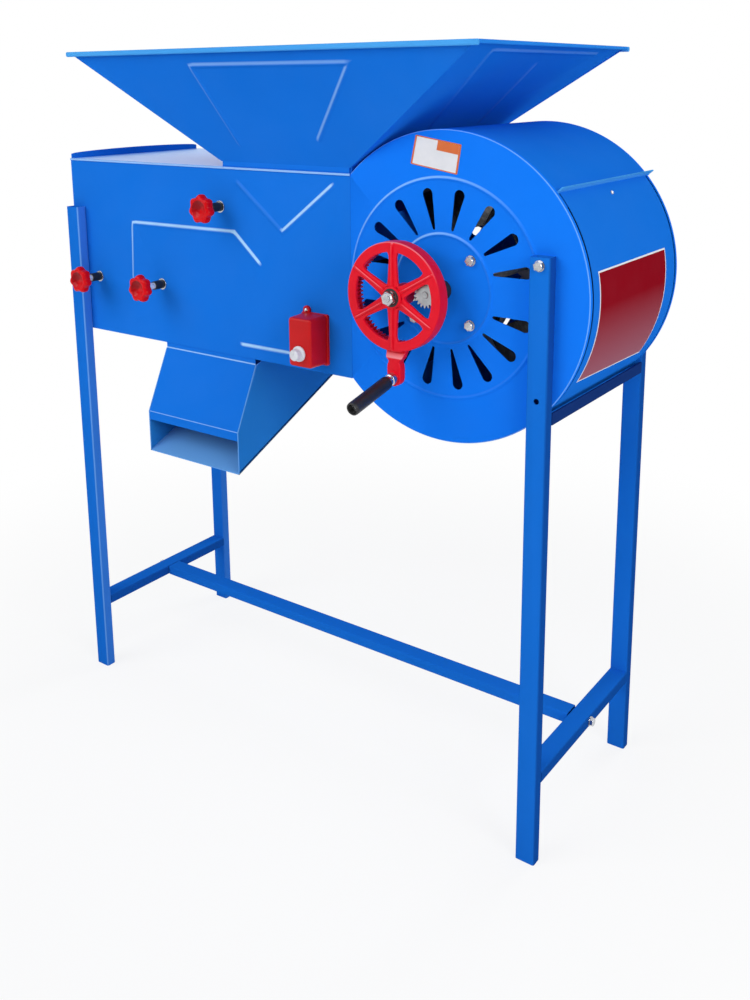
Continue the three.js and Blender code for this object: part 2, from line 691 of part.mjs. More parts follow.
// Lays (u, v) lines on a leaning wall: u along its rim, v up its slope.
function onWall(lines, origin, along, up) {
  const slope = up.clone().normalize();
  const flat = along.clone().normalize();
  const out = new THREE.Vector3().crossVectors(flat, slope);
  const frame = new THREE.Matrix4().makeBasis(flat, slope, out).setPosition(origin);
  return lines.map((line) => {
    const points = line.map(([u, v]) => [u * along.length(), v * up.length()]);
    return beadLine(points).applyMatrix4(frame);
  });
}

const rimLength = hopperRim.x[1] - hopperRim.x[0];
const rimWidth = hopperRim.y[1] - hopperRim.y[0];
const frontBeads = onWall([frontBeadShares],
  new THREE.Vector3(hopperRim.x[0], hopperFoot.y[0], hopperFootZ),
  new THREE.Vector3(rimLength, 0, 0), new THREE.Vector3(0, -hopper.overhang, hopper.rise));
const rightBeads = onWall(Object.values(endBeadShares),
  new THREE.Vector3(hopperFoot.x[1], hopperRim.y[0], hopperFootZ),
  new THREE.Vector3(0, rimWidth, 0), new THREE.Vector3(hopper.rightRun, 0, hopper.rise));
const leftBeads = onWall(Object.values(endBeadShares),
  new THREE.Vector3(hopperFoot.x[0], hopperRim.y[1], hopperFootZ),
  new THREE.Vector3(0, -rimWidth, 0), new THREE.Vector3(-hopper.leftRun, 0, hopper.rise));
const wallBeads = { front: frontBeads, back: frontBeads.map(toBack), left: leftBeads, right: rightBeads };
// Room that the end walls leave for the long walls' hems
const longHemRooms = [[hopperRim.y[0] - hopper.hemReach, hopperRim.y[0] + sheet],
  [hopperRim.y[1] - sheet, hopperRim.y[1] + hopper.hemReach]].map(([from, to]) =>
  block([longHemX[0] - fit, longHemX[1] + fit], [from - fit, to + fit],
    [rimHem[0] - fit, rimHem[1] + overrun]));
for (const side of ["front", "back", "left", "right"]) {
  const wall = loft([wallLevel(side, hopperFoot, hopperFootZ), wallLevel(side, hopperRim, hopperRimZ)]);
  const whole = join(wall, hems[side], skirts[side], ...wallBeads[side]);
  const isEnd = side === "left" || side === "right";
  add(`hopper_${side}_wall`, isEnd ? cut(whole, ...longHemRooms) : whole, paint);
}

// Funnel sheets below the hopper, leaning to a narrow slit over the wind
const funnelTopZ = skirtZ[0] - sheet;
const funnelSlitX = seamX - hopper.slitOffset;
const funnelLines = {
  left: [[throatX + sheet, funnelTopZ], [funnelSlitX - hopper.slit / 2, funnelTopZ - hopper.funnelFall]],
  right: [[seamX - 2 * sheet, funnelTopZ], [funnelSlitX + hopper.slit / 2, funnelTopZ - hopper.funnelFall]],
};
for (const [side, line] of Object.entries(funnelLines)) {
  add(`funnel_sheet_${side}`, alongY(sheetOutline(line, sheet), innerFront, innerBack), paint);
}

// Chute: a bent cover in front, and a trough of two sides, floor and back
const coverY = innerFront + sheet / 2;
const foldZ = -ductHalfHeight - chute.foldDrop;
const coverLine = [
  [coverY, -ductHalfHeight + chute.coverFlange], [coverY, -ductHalfHeight - chute.coverBend],
  [-chute.foldReach, foldZ], [-chute.foldReach, foldZ - chute.lip],
];
const coverX = [chuteLeftX + sheet + fit, chuteRightX - sheet - fit];
add("chute_cover", alongX(sheetOutline(coverLine, sheet), ...coverX), paint);
const underDuct = -ductHalfHeight - fit;
const mouthCorner = [-chute.foldReach - sheet, -ductHalfHeight - chute.mouthDrop];
const rearCorner = [innerBack, -ductHalfHeight - chute.rearDrop];
const troughSide = [
  [0, underDuct], [-chute.foldReach - sheet, foldZ], mouthCorner, rearCorner,
  [innerBack, underDuct],
];
const fall = new THREE.Vector2(rearCorner[0] - mouthCorner[0], rearCorner[1] - mouthCorner[1]).normalize();
const floorRise = sheet / fall.x;
const troughFloor = [
  mouthCorner, rearCorner, [rearCorner[0], underDuct], [rearCorner[0] - sheet, underDuct],
  [rearCorner[0] - sheet, rearCorner[1] + floorRise], [mouthCorner[0], mouthCorner[1] + floorRise],
];
add("chute_trough", join(
  alongX(troughSide, chuteLeftX, chuteLeftX + sheet),
  alongX(troughSide, chuteRightX - sheet, chuteRightX),
  alongX(troughFloor, chuteLeftX, chuteRightX),
), paint);

// Legs: square-cut tubes with a plate welded into the foot and their bolts
function legTube(x, y, top) {
  const outer = block([x, x + tube.width], [y, y + tube.depth], [floorZ, top]);
  const inner = block([x + tube.wall, x + tube.width - tube.wall],
    [y + tube.wall, y + tube.depth - tube.wall], [floorZ + tube.footPlate, top + overrun]);
  return cut(outer, inner);
}
const legBack = -fit;
const legFront = legBack - tube.depth;
const openHole = bar(leg.openHole, legFront - overrun, legFront + tube.depth / 2, rightLegBoltX,
  leg.openHoleZ);
const legs = {
  left: join(legTube(leftLegX, legFront, leg.leftTop), ...leftLegBolts.map(([x, z]) =>
    studAlongY(m8, x, z, sheet + fit, legBack - tube.wall - m8.shank))),
  right: join(cut(legTube(leg.rightX, legFront, leg.rightTop), openHole),
    boltAlongY(m8, rightLegBoltX, legBolt.z, legFront, sheet + fit)),
};
for (const [side, front] of Object.entries(legs)) {
  add(`leg_front_${side}`, front, paint);
  add(`leg_back_${side}`, toBack(front), paint);
}

// Low rails lie flat between the legs; a long rail joins them
const railZ = [floorZ + lowRail.top - tube.depth, floorZ + lowRail.top];
const railMiddleY = caseWidth / 2 + lowRail.offset;
const railMiddleZ = (railZ[0] + railZ[1]) / 2;
const inset = (low, high) => [low + tube.wall, high - tube.wall];
const lowRailX = { left: leftLegX, right: leg.rightX };
for (const side of ["left", "right"]) {
  const x = [lowRailX[side], lowRailX[side] + tube.width];
  const wallX = inset(...x);
  const wallZ = inset(...railZ);
  const section = alongX(rectangle(0, caseWidth, ...railZ), ...x);
  const bore = alongX(rectangle(-overrun, caseWidth + overrun, ...wallZ), ...wallX);
  const boltRoom = barAlongX(m8.shank + fit, x[0] - overrun, x[1] + overrun, railMiddleY, railMiddleZ);
  add(`low_rail_${side}`, cut(section, bore, boltRoom), paint);
}
const longRailX = [leftLegX + tube.width + lowRail.slit, leg.rightX - lowRail.slit];
const longRailY = [railMiddleY - tube.width / 2, railMiddleY + tube.width / 2];
const longRailBody = alongX(rectangle(...longRailY, ...railZ), ...longRailX);
const longRailBore = alongX(rectangle(...inset(...longRailY), ...inset(...railZ)),
  longRailX[0] - overrun, longRailX[1] + overrun);
const boltStrips = [longRailX[0], longRailX[1] - tube.footPlate].map((x) =>
  block([x, x + tube.footPlate], [railMiddleY - m8.washer, railMiddleY + m8.washer], railZ));
const railSeats = [[lowRailX.right + tube.width + fit, 1], [lowRailX.left - fit, -1]];
const railBolts = railSeats.map(([seat, side]) => {
  const clamped = tube.width + lowRail.slit + fit + tube.footPlate;
  return boltAlongY(m8, 0, 0, 0, -clamped)
    .rotateZ((-side * Math.PI) / 2)
    .translate(seat, railMiddleY, railMiddleZ);
});
add("long_rail", join(cut(longRailBody, longRailBore), ...boltStrips, ...railBolts), paint);

const cradleX = leg.rightX + tube.width;
const cradleTop = -Math.sqrt((drumRadius + cradle.drumGap) ** 2 - (cradleX - cradle.thickness) ** 2);
const cradleFoot = cradleTop - cradle.height;
const cradleLine = [
  [cradleX - cradle.width, cradleFoot + cradle.thickness / 2],
  [cradleX - cradle.thickness / 2, cradleFoot + cradle.thickness / 2],
  [cradleX - cradle.thickness / 2, cradleTop],
];
add("drum_cradle_angle", alongY(sheetOutline(cradleLine, cradle.thickness), 0, caseWidth), paint);

// Bearing bracket behind the front disc, with the crank stud beside the shaft
const bracketY = [innerFront, innerFront + bracket.thickness];
const bracketEdge = [-bracket.half, bracket.half];
const bracketPlate = alongY(rectangle(...bracketEdge, ...bracketEdge), ...bracketY);
const bracketBolts = bracketCorners.map(([x, z]) => boltAlongY(m8, x, z, -fit, bracketY[1]));
add("bearing_bracket", join(cut(bracketPlate,
  bar(bearing.nose + fit, 0, bracketY[1] + overrun, 0, 0, stepsMedium),
  bar(stud.radius + fit, 0, bracketY[1] + overrun, crankX, crankZ)), ...bracketBolts), steel);

const boreRadius = shaft.radius + fit;
const flangeY = bracketY[1] + fit;
const bearingProfile = [
  [boreRadius, -bearing.noseReach], [bearing.nose, -bearing.noseReach], [bearing.nose, flangeY],
  [bearing.flange, flangeY], [bearing.flange, flangeY + bearing.flangeDepth],
  [boreRadius, flangeY + bearing.flangeDepth], [boreRadius, -bearing.noseReach],
];
add("front_bearing", turned(bearingProfile, 0, 0), castBlack);
const rearBearingProfile = [
  [boreRadius, innerFront], [bearing.flange, innerFront],
  [bearing.flange, innerFront + bearing.flangeDepth], [boreRadius, innerFront + bearing.flangeDepth],
  [boreRadius, innerFront],
];
add("back_bearing", toBack(turned(rearBearingProfile, 0, 0)), castBlack);

// The crank stud: shank through disc and bracket, shoulder, journal and thread
const journalEnd = -wheel.hubFront - fit;
const studShoulder = -wheel.hubBack + fit;
add("crank_stud", turned([
  [0, bracketY[1] + fit], [stud.radius, bracketY[1] + fit], [stud.radius, -fit], [stud.collar, -fit],
  [stud.collar, -stud.collarDepth], [stud.shoulder, -stud.collarDepth], [stud.shoulder, studShoulder],
  [stud.radius, studShoulder], [stud.radius, journalEnd], [stud.thread, journalEnd],
  [stud.thread, -stud.threadReach], [0, -stud.threadReach],
], crankX, crankZ, stepsFine), zinc);
const nutFace = journalEnd - fit;
add("crank_nut", cut(
  alongY(hexagon(stud.nutFlats, crankX, crankZ), nutFace - stud.nutHeight, nutFace),
  bar(stud.thread + fit, nutFace - stud.nutHeight - overrun, nutFace + overrun, crankX, crankZ, stepsFine),
), zinc);

// Motor on the back disc: flange, ribbed body and domed end bell
const motorFace = caseWidth + fit;
const motorBodyEnd = motorFace + motor.flangeDepth + motor.bodyDepth;
const motorShell = turned([
  [boreRadius, motorFace], [motor.flange, motorFace], [motor.flange, motorFace + motor.flangeDepth],
  [motor.body, motorFace + motor.flangeDepth], [motor.body, motorBodyEnd], [motor.bell, motorBodyEnd],
  [motor.bell, motorBodyEnd + motor.bellDepth],
  [motor.domeRadius, motorFace + motor.depth], [0, motorFace + motor.depth],
  [0, caseWidth + shaft.rear + motor.shaftRoom], [boreRadius, caseWidth + shaft.rear + motor.shaftRoom],
  [boreRadius, motorFace],
], 0, 0);
add("motor_housing", join(motorShell, ...motorBolts.map(([x, z]) =>
  join(
    studAlongY(m6, x, z, motorFace + motor.flangeDepth, caseWidth - sheet - m6.head),
    alongY(hexagon(m6.flats, x, z), caseWidth - sheet - fit - m6.head, caseWidth - sheet - fit),
  ))), castGrey);

// Rotor: shaft, two armed hubs, and bent blades bolted to the arms
add("rotor_shaft", turned([
  [0, caseWidth + shaft.rear], [shaft.radius, caseWidth + shaft.rear], [shaft.radius, -shaft.front],
  [shaft.spigot, -shaft.front], [shaft.spigot, -shaft.spigotReach], [0, -shaft.spigotReach],
], 0, 0), steel);
const hubYs = {
  front: [rotor.hubInset, rotor.hubInset + rotor.hubWidth],
  back: [caseWidth - rotor.hubInset - rotor.hubWidth, caseWidth - rotor.hubInset],
};
const bladeTurn = 360 / rotor.blades;
const armBack = sheet / 2 + fit;
for (const [side, y] of Object.entries(hubYs)) {
  const arms = Array.from({ length: rotor.blades }, (_, i) => {
    const arm = block([boreRadius + overrun, rotor.armEnd], y, [armBack, armBack + rotor.armThickness]);
    return arm.rotateY(-radians(i * bladeTurn));
  });
  const hub = join(bar(rotor.hubRadius, ...y, 0, 0, stepsMedium), ...arms);
  const bore = bar(boreRadius, y[0] - overrun, y[1] + overrun, 0, 0, stepsFine);
  add(`rotor_hub_${side}`, cut(hub, bore), steel);
}
const bladeLine = [[rotor.bladeRoot, 0], [rotor.bladeBend, 0],
  polar(rotor.tip - rotor.bladeBend, -rotor.bendAngle, rotor.bladeBend, 0)];
for (let i = 0; i < rotor.blades; i += 1) {
  const blade = alongY(sheetOutline(bladeLine, sheet), rotor.sideGap, caseWidth - rotor.sideGap);
  add(`rotor_blade_${i + 1}`, blade.rotateY(-radians(i * bladeTurn)), zinc);
}

// Gears: involute flanks from root to tip. The ring's tooth spaces have the
// same form as the teeth of an outside gear, so one outline serves both. At rest
// a tooth and a space meet on the line between the two axes.
function involute(radius, baseRadius) {
  const angle = Math.acos(Math.min(baseRadius / radius, 1));
  return Math.tan(angle) - angle;
}

function gearOutline(teeth, rootRadius, tipRadius, thinning, flankSteps) {
  const pitchRadius = (gear.module * teeth) / 2;
  const baseRadius = pitchRadius * Math.cos(radians(gear.pressureAngle));
  const atPitch = Math.PI / 2 / teeth + involute(pitchRadius, baseRadius) - thinning / 2 / pitchRadius;
  const rise = tipRadius - rootRadius;
  const radii = Array.from({ length: flankSteps + 1 }, (_, i) => rootRadius + (rise * i) / flankSteps);
  const points = [];
  for (let tooth = 0; tooth < teeth; tooth += 1) {
    const middle = gear.bearing - 180 + (tooth * 360) / teeth;
    const half = radii.map((radius) => THREE.MathUtils.radToDeg(atPitch - involute(radius, baseRadius)));
    const rising = radii.map((radius, i) => polar(radius, middle - half[i]));
    const falling = radii.map((radius, i) => polar(radius, middle + half[i])).reverse();
    points.push(...rising, ...falling);
  }
  return points;
}

const ringPitch = (gear.module * gear.ringTeeth) / 2;
const pinionPitch = (gear.module * gear.pinionTeeth) / 2;
const ringOutline = gearOutline(gear.ringTeeth, ringPitch - gear.module * gear.addendum,
  ringPitch + gear.module * gear.dedendum, -gear.backlash, 1);
const pinionOutline = gearOutline(gear.pinionTeeth, pinionPitch - gear.module * gear.dedendum,
  pinionPitch + gear.module * gear.addendum, gear.backlash, 2);
add("drive_pinion", cut(alongY(pinionOutline, -pinion.front, -pinion.back),
  bar(shaft.spigot + fit, -pinion.front - overrun, -pinion.back + overrun, 0, 0)), zinc);

// Crank wheel: toothed rim, front flange, ribbed spokes, hub and crank arm
const toothedRim = alongY(circle(wheel.radius, stepsRing), -wheel.toothFront, -wheel.back, [ringOutline]);
const rimFace = alongY(circle(wheel.radius, stepsRing), -wheel.front, -wheel.toothFront,
  [circle(wheel.openRadius, stepsRing)]);
const hubBody = bar(wheel.hubRadius, -wheel.hubFront, -wheel.hubBack, 0, 0, stepsMedium);
const spokeReach = (wheel.openRadius + wheel.radius) / 2;
const spokes = [];
for (let i = 0; i < wheel.spokes; i += 1) {
  const turn = 90 + (i * 360) / wheel.spokes;
  const web = alongY([
    [0, -wheel.spokeRoot / 2], [spokeReach, -wheel.spokeTip / 2],
    [spokeReach, wheel.spokeTip / 2], [0, wheel.spokeRoot / 2],
  ], -wheel.front, -wheel.toothFront);
  const rib = block([0, wheel.radius - sheet], [-wheel.front - wheel.ribHeight, -wheel.front],
    [-wheel.ribWidth / 2, wheel.ribWidth / 2]);
  spokes.push(join(web, rib).rotateY(-radians(turn)));
}
const armSide = [
  [-crankArm.rootBack, -crankArm.root], [-crankArm.padBack, -crankArm.neck],
  [-crankArm.padBack, -crankArm.end], [-crankArm.padFront, -crankArm.end],
  [-crankArm.padFront, -crankArm.neck], [-crankArm.rootFront, -crankArm.root],
];
const armFront = [
  [-crankArm.rootWidth / 2, -crankArm.root], [-crankArm.neckWidth / 2, -crankArm.neck],
  [-crankArm.padWidth / 2, -crankArm.neck - crankArm.bossLength],
  ...arc(crankArm.padWidth / 2, 180, 360, stepsSmall / 2, 0, crankArm.padWidth / 2 - crankArm.end),
  [crankArm.padWidth / 2, -crankArm.neck - crankArm.bossLength],
  [crankArm.neckWidth / 2, -crankArm.neck], [crankArm.rootWidth / 2, -crankArm.root],
];
const armBody = common(alongX(armSide, -crankArm.rootWidth, crankArm.rootWidth),
  alongY(armFront, -wheel.front - overrun, -wheel.hubBack));

// Along the handle's own axis, which leans outward from the crank's
function onHandle(geometry) {
  return geometry.rotateX(radians(handle.tilt)).translate(0, -crankArm.padFront, -crankArm.reach);
}
const armBoss = onHandle(bar(crankArm.boss, -crankArm.bossLength, crankArm.boss, 0, 0));
const boltThrough = onHandle(
  bar(handle.bolt + fit, -crankArm.bossLength - overrun, 2 * crankArm.padFront, 0, 0));
const hubBore = [-wheel.hubFront - overrun, -wheel.hubBack + overrun];
const journal = bar(stud.radius + fit, ...hubBore, 0, 0, stepsFine);
const wheelWhole = join(toothedRim, rimFace, hubBody, ...spokes, armBody, armBoss);
const wheelBody = cut(wheelWhole, journal, boltThrough);
add("crank_wheel", wheelBody.translate(crankX, 0, crankZ), paintRed);

const collarFrom = -crankArm.bossLength - fit;
const collarTo = collarFrom - handle.collarLength;
const gripFrom = collarTo - fit;
const gripTo = gripFrom - handle.gripLength;
const pocketFloor = gripTo + handle.pocketDepth;
const boltEnd = crankArm.padFront - crankArm.padBack;
const handleBolt = join(
  bar(handle.bolt, pocketFloor - fit, boltEnd + fit, 0, 0),
  bar(handle.collar, collarTo, collarFrom, 0, 0, stepsFine),
  bar(handle.pocket - 2 * fit, pocketFloor - fit - m6.head, pocketFloor - fit, 0, 0),
);
add("handle_bolt", onHandle(handleBolt).translate(crankX, 0, crankZ), zinc);
const gripEdge = handle.grip - sheet;
const grip = turned([
  [handle.bolt + fit, gripFrom], [gripEdge, gripFrom], [handle.grip, gripFrom - sheet],
  [handle.grip, gripTo + sheet], [gripEdge, gripTo], [handle.pocket, gripTo], [handle.pocket, pocketFloor],
  [handle.bolt + fit, pocketFloor], [handle.bolt + fit, gripFrom],
], 0, 0, stepsFine);
add("handle_grip", onHandle(grip).translate(crankX, 0, crankZ), plasticBlack);

// Adjusters: a rod across the duct with its flap, a sleeve and a star knob
function starRing(scale, y) {
  const points = [];
  const count = starKnob.lobes * starKnob.lobeSteps;
  for (let i = 0; i < count; i += 1) {
    const turn = (i * 2 * Math.PI) / count;
    const hollow = starKnob.scallop * (1 - Math.cos(starKnob.lobes * turn));
    const radius = starKnob.radius * scale * (1 - hollow);
    points.push(new THREE.Vector3(radius * Math.sin(turn), y, radius * Math.cos(turn)));
  }
  return points;
}

function starKnobBody(face) {
  const back = face - starKnob.depth;
  const levels = [
    [starKnob.backShare, back], [1, back + starKnob.hubDepth / 2],
    [starKnob.frontShare, face - starKnob.dimpleDepth], [starKnob.faceShare, face],
  ];
  const body = loft(levels.map(([share, reach]) => starRing(share, -reach)));
  const dimple = turned([
    [0, -face - overrun], [starKnob.dimple + overrun / 2, -face - overrun],
    [starKnob.dimple - sheet, -face + starKnob.dimpleDepth], [0, -face + starKnob.dimpleDepth],
  ], 0, 0, stepsSmall);
  const hub = bar(starKnob.hub, -back, starKnob.hubDepth - back, 0, 0);
  const bore = bar(adjusterRod + fit, starKnob.cover - face, starKnob.hubDepth + overrun - back, 0, 0);
  return cut(join(body, hub), dimple, bore);
}

for (const { name, fromSeam, height, reach, sleeveLength, flapLength, flapAngle } of adjusters) {
  const x = seamX - fromSeam;
  const z = height - ductHalfHeight;
  const rodFrom = starKnob.cover + fit - reach;
  const rod = bar(adjusterRod, rodFrom, caseWidth + overrun, 0, 0);
  const bend = polar(flapLength * flapBend.share, 0);
  const flapLine = [[adjusterRod / 2, 0], bend,
    polar(flapLength * (1 - flapBend.share), flapBend.angle, ...bend)];
  const flap = alongY(sheetOutline(flapLine, flapThickness), flapSideGap, caseWidth - flapSideGap);
  flap.rotateY(-radians(flapAngle));
  add(`${name}_flap`, join(rod, flap).translate(x, 0, z), steel);
  const sleeveTo = -washer.thickness - 2 * fit;
  const sleeveFrom = sleeveTo - sleeveLength;
  const bore = bar(adjusterRod + fit, sleeveFrom - overrun, overrun, 0, 0);
  const sleeve = cut(bar(sleeveRadius, sleeveFrom, sleeveTo, 0, 0), bore);
  add(`${name}_sleeve`, sleeve.translate(x, 0, z), plasticBlack);
  const seat = cut(bar(washer.radius, -washer.thickness - fit, -fit, 0, 0), bore);
  add(`${name}_washer`, seat.translate(x, 0, z), zinc);
  add(`${name}_knob`, starKnobBody(reach).translate(x, 0, z), plasticRed);
}

// Switch box: base with a screwed ear, rounded cover, and the speed knob
const baseY = [-box.flange - fit, -fit];
const basePlate = join(
  alongY(rectangle(boxRight - box.width - box.flangeLeft, boxRight + box.flangeRight,
    boxTop - box.flangeHeight, boxTop), ...baseY),
  bar(box.ear, ...baseY, earX, earZ),
  alongY(rectangle(earX - box.ear, earX + box.ear, boxTop - box.ear, earZ), ...baseY),
);
const earScrew = bar(panScrew.head, baseY[0] - panScrew.headDepth, baseY[0] + fit, earX, earZ);
add("switch_base", join(basePlate, earScrew), plasticRed);

// A rounded rectangle at one depth of the cover.
function coverRing(insetBy, y) {
  const left = boxRight - box.width + insetBy;
  const right = boxRight - insetBy;
  const bottom = boxTop - box.height + insetBy;
  const top = boxTop - fit - insetBy;
  const centres = [[right - box.round, top - box.round, 0], [left + box.round, top - box.round, 90],
    [left + box.round, bottom + box.round, 180], [right - box.round, bottom + box.round, 270]];
  const points = centres.flatMap(([x, z, from]) =>
    arc(box.round, from, from + 90, box.roundSteps, x, z));
  return points.map(([x, z]) => new THREE.Vector3(x, y, z));
}

const coverBack = baseY[0] - fit;
const knobX = seamX - speedKnob.fromSeam;
const knobZ = speedKnob.height - ductHalfHeight;
const coverBody = loft([
  coverRing(0, coverBack), coverRing(box.draft, -box.depth + box.round),
  coverRing(2 * box.draft, -box.depth + sheet), coverRing(box.round, -box.depth),
]);
const postRoom = [-box.depth - overrun, -box.depth + speedKnob.depth];
const knobRoom = bar(speedKnob.post + fit, ...postRoom, knobX, knobZ);
add("switch_cover", cut(coverBody, knobRoom), plasticRed);
const knobFace = -box.depth - fit;
const capFace = knobFace - speedKnob.depth;
const postEnd = knobFace + speedKnob.depth / 2;
const knobTurned = turned([
  [0, postEnd], [speedKnob.post, postEnd], [speedKnob.post, knobFace],
  [speedKnob.skirt, knobFace], [speedKnob.skirt, knobFace - speedKnob.skirtDepth],
  [speedKnob.cap, knobFace - speedKnob.skirtDepth - speedKnob.round],
  [speedKnob.cap - speedKnob.draft, capFace + speedKnob.round],
  [speedKnob.cap - speedKnob.round, capFace], [0, capFace],
], 0, 0, stepsFine);
const pointer = block([-speedKnob.ribHeight, speedKnob.ribHeight],
  [capFace - speedKnob.ribHeight, capFace + speedKnob.ribHeight], [0, speedKnob.cap - speedKnob.round]);
add("speed_knob", join(knobTurned, pointer).translate(knobX, 0, knobZ), plasticWhite);

// The origin is on the floor, below the middle of the whole outline.
machine.updateMatrixWorld(true);
const outline = new THREE.Box3().setFromObject(machine, true);
const centre = outline.getCenter(new THREE.Vector3());
machine.position.set(-centre.x, -centre.y, 0);

export default machine;
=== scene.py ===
# Looks of the winnowing machine: pressed sheets, rolled rims, tube legs, cast
# crank wheel, star knobs and fasteners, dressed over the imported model.
import math

import bmesh
import bpy
from mathutils import Matrix, Vector
from mathutils.geometry import delaunay_2d_cdt


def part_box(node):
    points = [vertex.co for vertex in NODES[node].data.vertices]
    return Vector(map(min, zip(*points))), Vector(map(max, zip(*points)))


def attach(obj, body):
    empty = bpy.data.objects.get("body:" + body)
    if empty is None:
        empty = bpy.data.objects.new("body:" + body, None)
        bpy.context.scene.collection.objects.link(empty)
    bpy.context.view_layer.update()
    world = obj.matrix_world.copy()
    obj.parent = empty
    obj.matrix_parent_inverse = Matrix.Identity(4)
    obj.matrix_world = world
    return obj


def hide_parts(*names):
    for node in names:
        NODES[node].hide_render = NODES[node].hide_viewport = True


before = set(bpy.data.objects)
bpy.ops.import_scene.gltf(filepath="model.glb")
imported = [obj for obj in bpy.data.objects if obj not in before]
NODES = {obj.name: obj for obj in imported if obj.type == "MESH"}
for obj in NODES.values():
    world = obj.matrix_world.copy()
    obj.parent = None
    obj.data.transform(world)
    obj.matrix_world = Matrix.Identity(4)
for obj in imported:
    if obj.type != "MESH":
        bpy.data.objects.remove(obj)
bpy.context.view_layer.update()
MM = 0.001

# Sizes in millimetres, measured from the point where the fan's axis meets the
# front face: x towards the drum's end, y to the back, z up.
WIDTH = 339
DRUM = 240
HALF = 167
DUCT_LENGTH = 679
THROAT_LENGTH = 279
FLOOR = -901
SHEET = 1.5
GAP = 0.3
SHAFT_PAST_BACK = 26
SEAM = -math.sqrt(DRUM ** 2 - HALF ** 2)
SEAM_ANGLE = math.degrees(math.atan2(HALF, SEAM))
MOUTH = SEAM - DUCT_LENGTH
THROAT = SEAM - THROAT_LENGTH
TUBE = {"width": 33, "depth": 20, "wall": 2, "corner": 3.2}
shaft_low, shaft_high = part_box("rotor_shaft")
FAN = Vector(((shaft_low.x + shaft_high.x) / 2, shaft_high.y - (WIDTH + SHAFT_PAST_BACK) * MM,
              (shaft_low.z + shaft_high.z) / 2))
TO_FRAME = Matrix.Translation(FAN) @ Matrix.Scale(MM, 4)
MIRROR = Matrix.Translation((0, WIDTH, 0)) @ Matrix.Scale(-1, 4, (0, 1, 0))
# The front face and the back one as planes of (u, v, out)
FRONT = Matrix(((1, 0, 0, 0), (0, 0, -1, 0), (0, 1, 0, 0), (0, 0, 0, 1)))
BACK = MIRROR @ FRONT
# Swaps y and z, so that what runs up runs to the back
Y_AND_Z = Matrix(((1, 0, 0, 0), (0, 0, 1, 0), (0, 1, 0, 0), (0, 0, 0, 1)))

# The photograph's viewpoint: its place from the fan's axis in millimetres, its
# bearing, tilt and roll in degrees, and its lens
VIEWPOINT = {
    "place": (819.8, -1315, 309.8), "turns": (35.725, 12.133, -0.426),
    "lens": 37.584, "sensor": 36, "rise": -0.195, "nearest": 0.05, "farthest": 60,
}


def camera():
    bearing, tilt, roll = (math.radians(a) for a in VIEWPOINT["turns"])
    level_ahead = (-math.sin(bearing) * math.cos(tilt), math.cos(bearing) * math.cos(tilt))
    ahead = Vector((*level_ahead, -math.sin(tilt)))
    level = Vector((math.cos(bearing), math.sin(bearing), 0))
    upright = level.cross(ahead)
    right = level * math.cos(roll) + upright * math.sin(roll)
    up = right.cross(ahead)
    data = bpy.data.cameras.new("camera")
    data.lens, data.sensor_width, data.shift_y = VIEWPOINT["lens"], VIEWPOINT["sensor"], VIEWPOINT["rise"]
    data.clip_start, data.clip_end = VIEWPOINT["nearest"], VIEWPOINT["farthest"]
    eye = bpy.data.objects.new("camera", data)
    turn = Matrix((right, up, -ahead)).transposed().to_4x4()
    eye.matrix_world = Matrix.Translation(FAN + Vector(VIEWPOINT["place"]) * MM) @ turn
    bpy.context.scene.collection.objects.link(eye)
    bpy.context.scene.camera = eye


def lamp(name, place, target, size, power):
    data = bpy.data.lights.new(name, "AREA")
    data.shape, data.size, data.energy = "DISK", size, power
    lit = bpy.data.objects.new(name, data)
    lit.location = place
    lit.rotation_euler = (Vector(target) - Vector(place)).to_track_quat("-Z", "Y").to_euler()
    bpy.context.scene.collection.objects.link(lit)


camera()




# Mesh tools, in millimetres
NOTHING = 1e-6
MERGE_WITHIN = 2e-6  # metres
FILL_SLACK = 1e-5
NEARLY_STRAIGHT = 0.02  # radians
SHARPEST_MITRE = 0.3
MOST_OF_HALF = 0.49


def arc(radius, start, end, steps, x=0.0, z=0.0):
    turns = [math.radians(start + (end - start) * i / steps) for i in range(steps + 1)]
    return [(x + radius * math.cos(t), z + radius * math.sin(t)) for t in turns]


def circle(radius, steps, x=0.0, z=0.0):
    return arc(radius, 0, 360, steps, x, z)[:-1]


def rounded(points, radii, steps=4, closed=True):
    """Rounds the corners of an outline; radii is one number, or one for each corner."""
    count = len(points)
    radii = radii if hasattr(radii, "__len__") else [radii] * count
    out = []
    for i, radius in enumerate(radii):
        corner = Vector(points[i])
        before, after = Vector(points[i - 1]) - corner, Vector(points[(i + 1) % count]) - corner
        is_end = not closed and i in (0, count - 1)
        if radius <= 0 or is_end or min(before.length, after.length) < NOTHING:
            out.append(tuple(corner))
            continue
        angle = before.angle(after)
        if angle > math.pi - NEARLY_STRAIGHT:
            out.append(tuple(corner))
            continue
        reach = min(radius / math.tan(angle / 2), MOST_OF_HALF * before.length, MOST_OF_HALF * after.length)
        used = reach * math.tan(angle / 2)
        before.normalize()
        after.normalize()
        centre = corner + (before + after).normalized() * (used / math.sin(angle / 2))
        first, last = corner + before * reach - centre, corner + after * reach - centre
        sweep = math.pi - angle
        for k in range(steps + 1):
            t = k / steps
            spoke = (first * math.sin((1 - t) * sweep) + last * math.sin(t * sweep)) / math.sin(sweep)
            out.append(tuple(centre + spoke))
    return out


def rectangle(u0, u1, v0, v1, radius=0.0, steps=4):
    return rounded([(u0, v0), (u1, v0), (u1, v1), (u0, v1)], radius, steps)


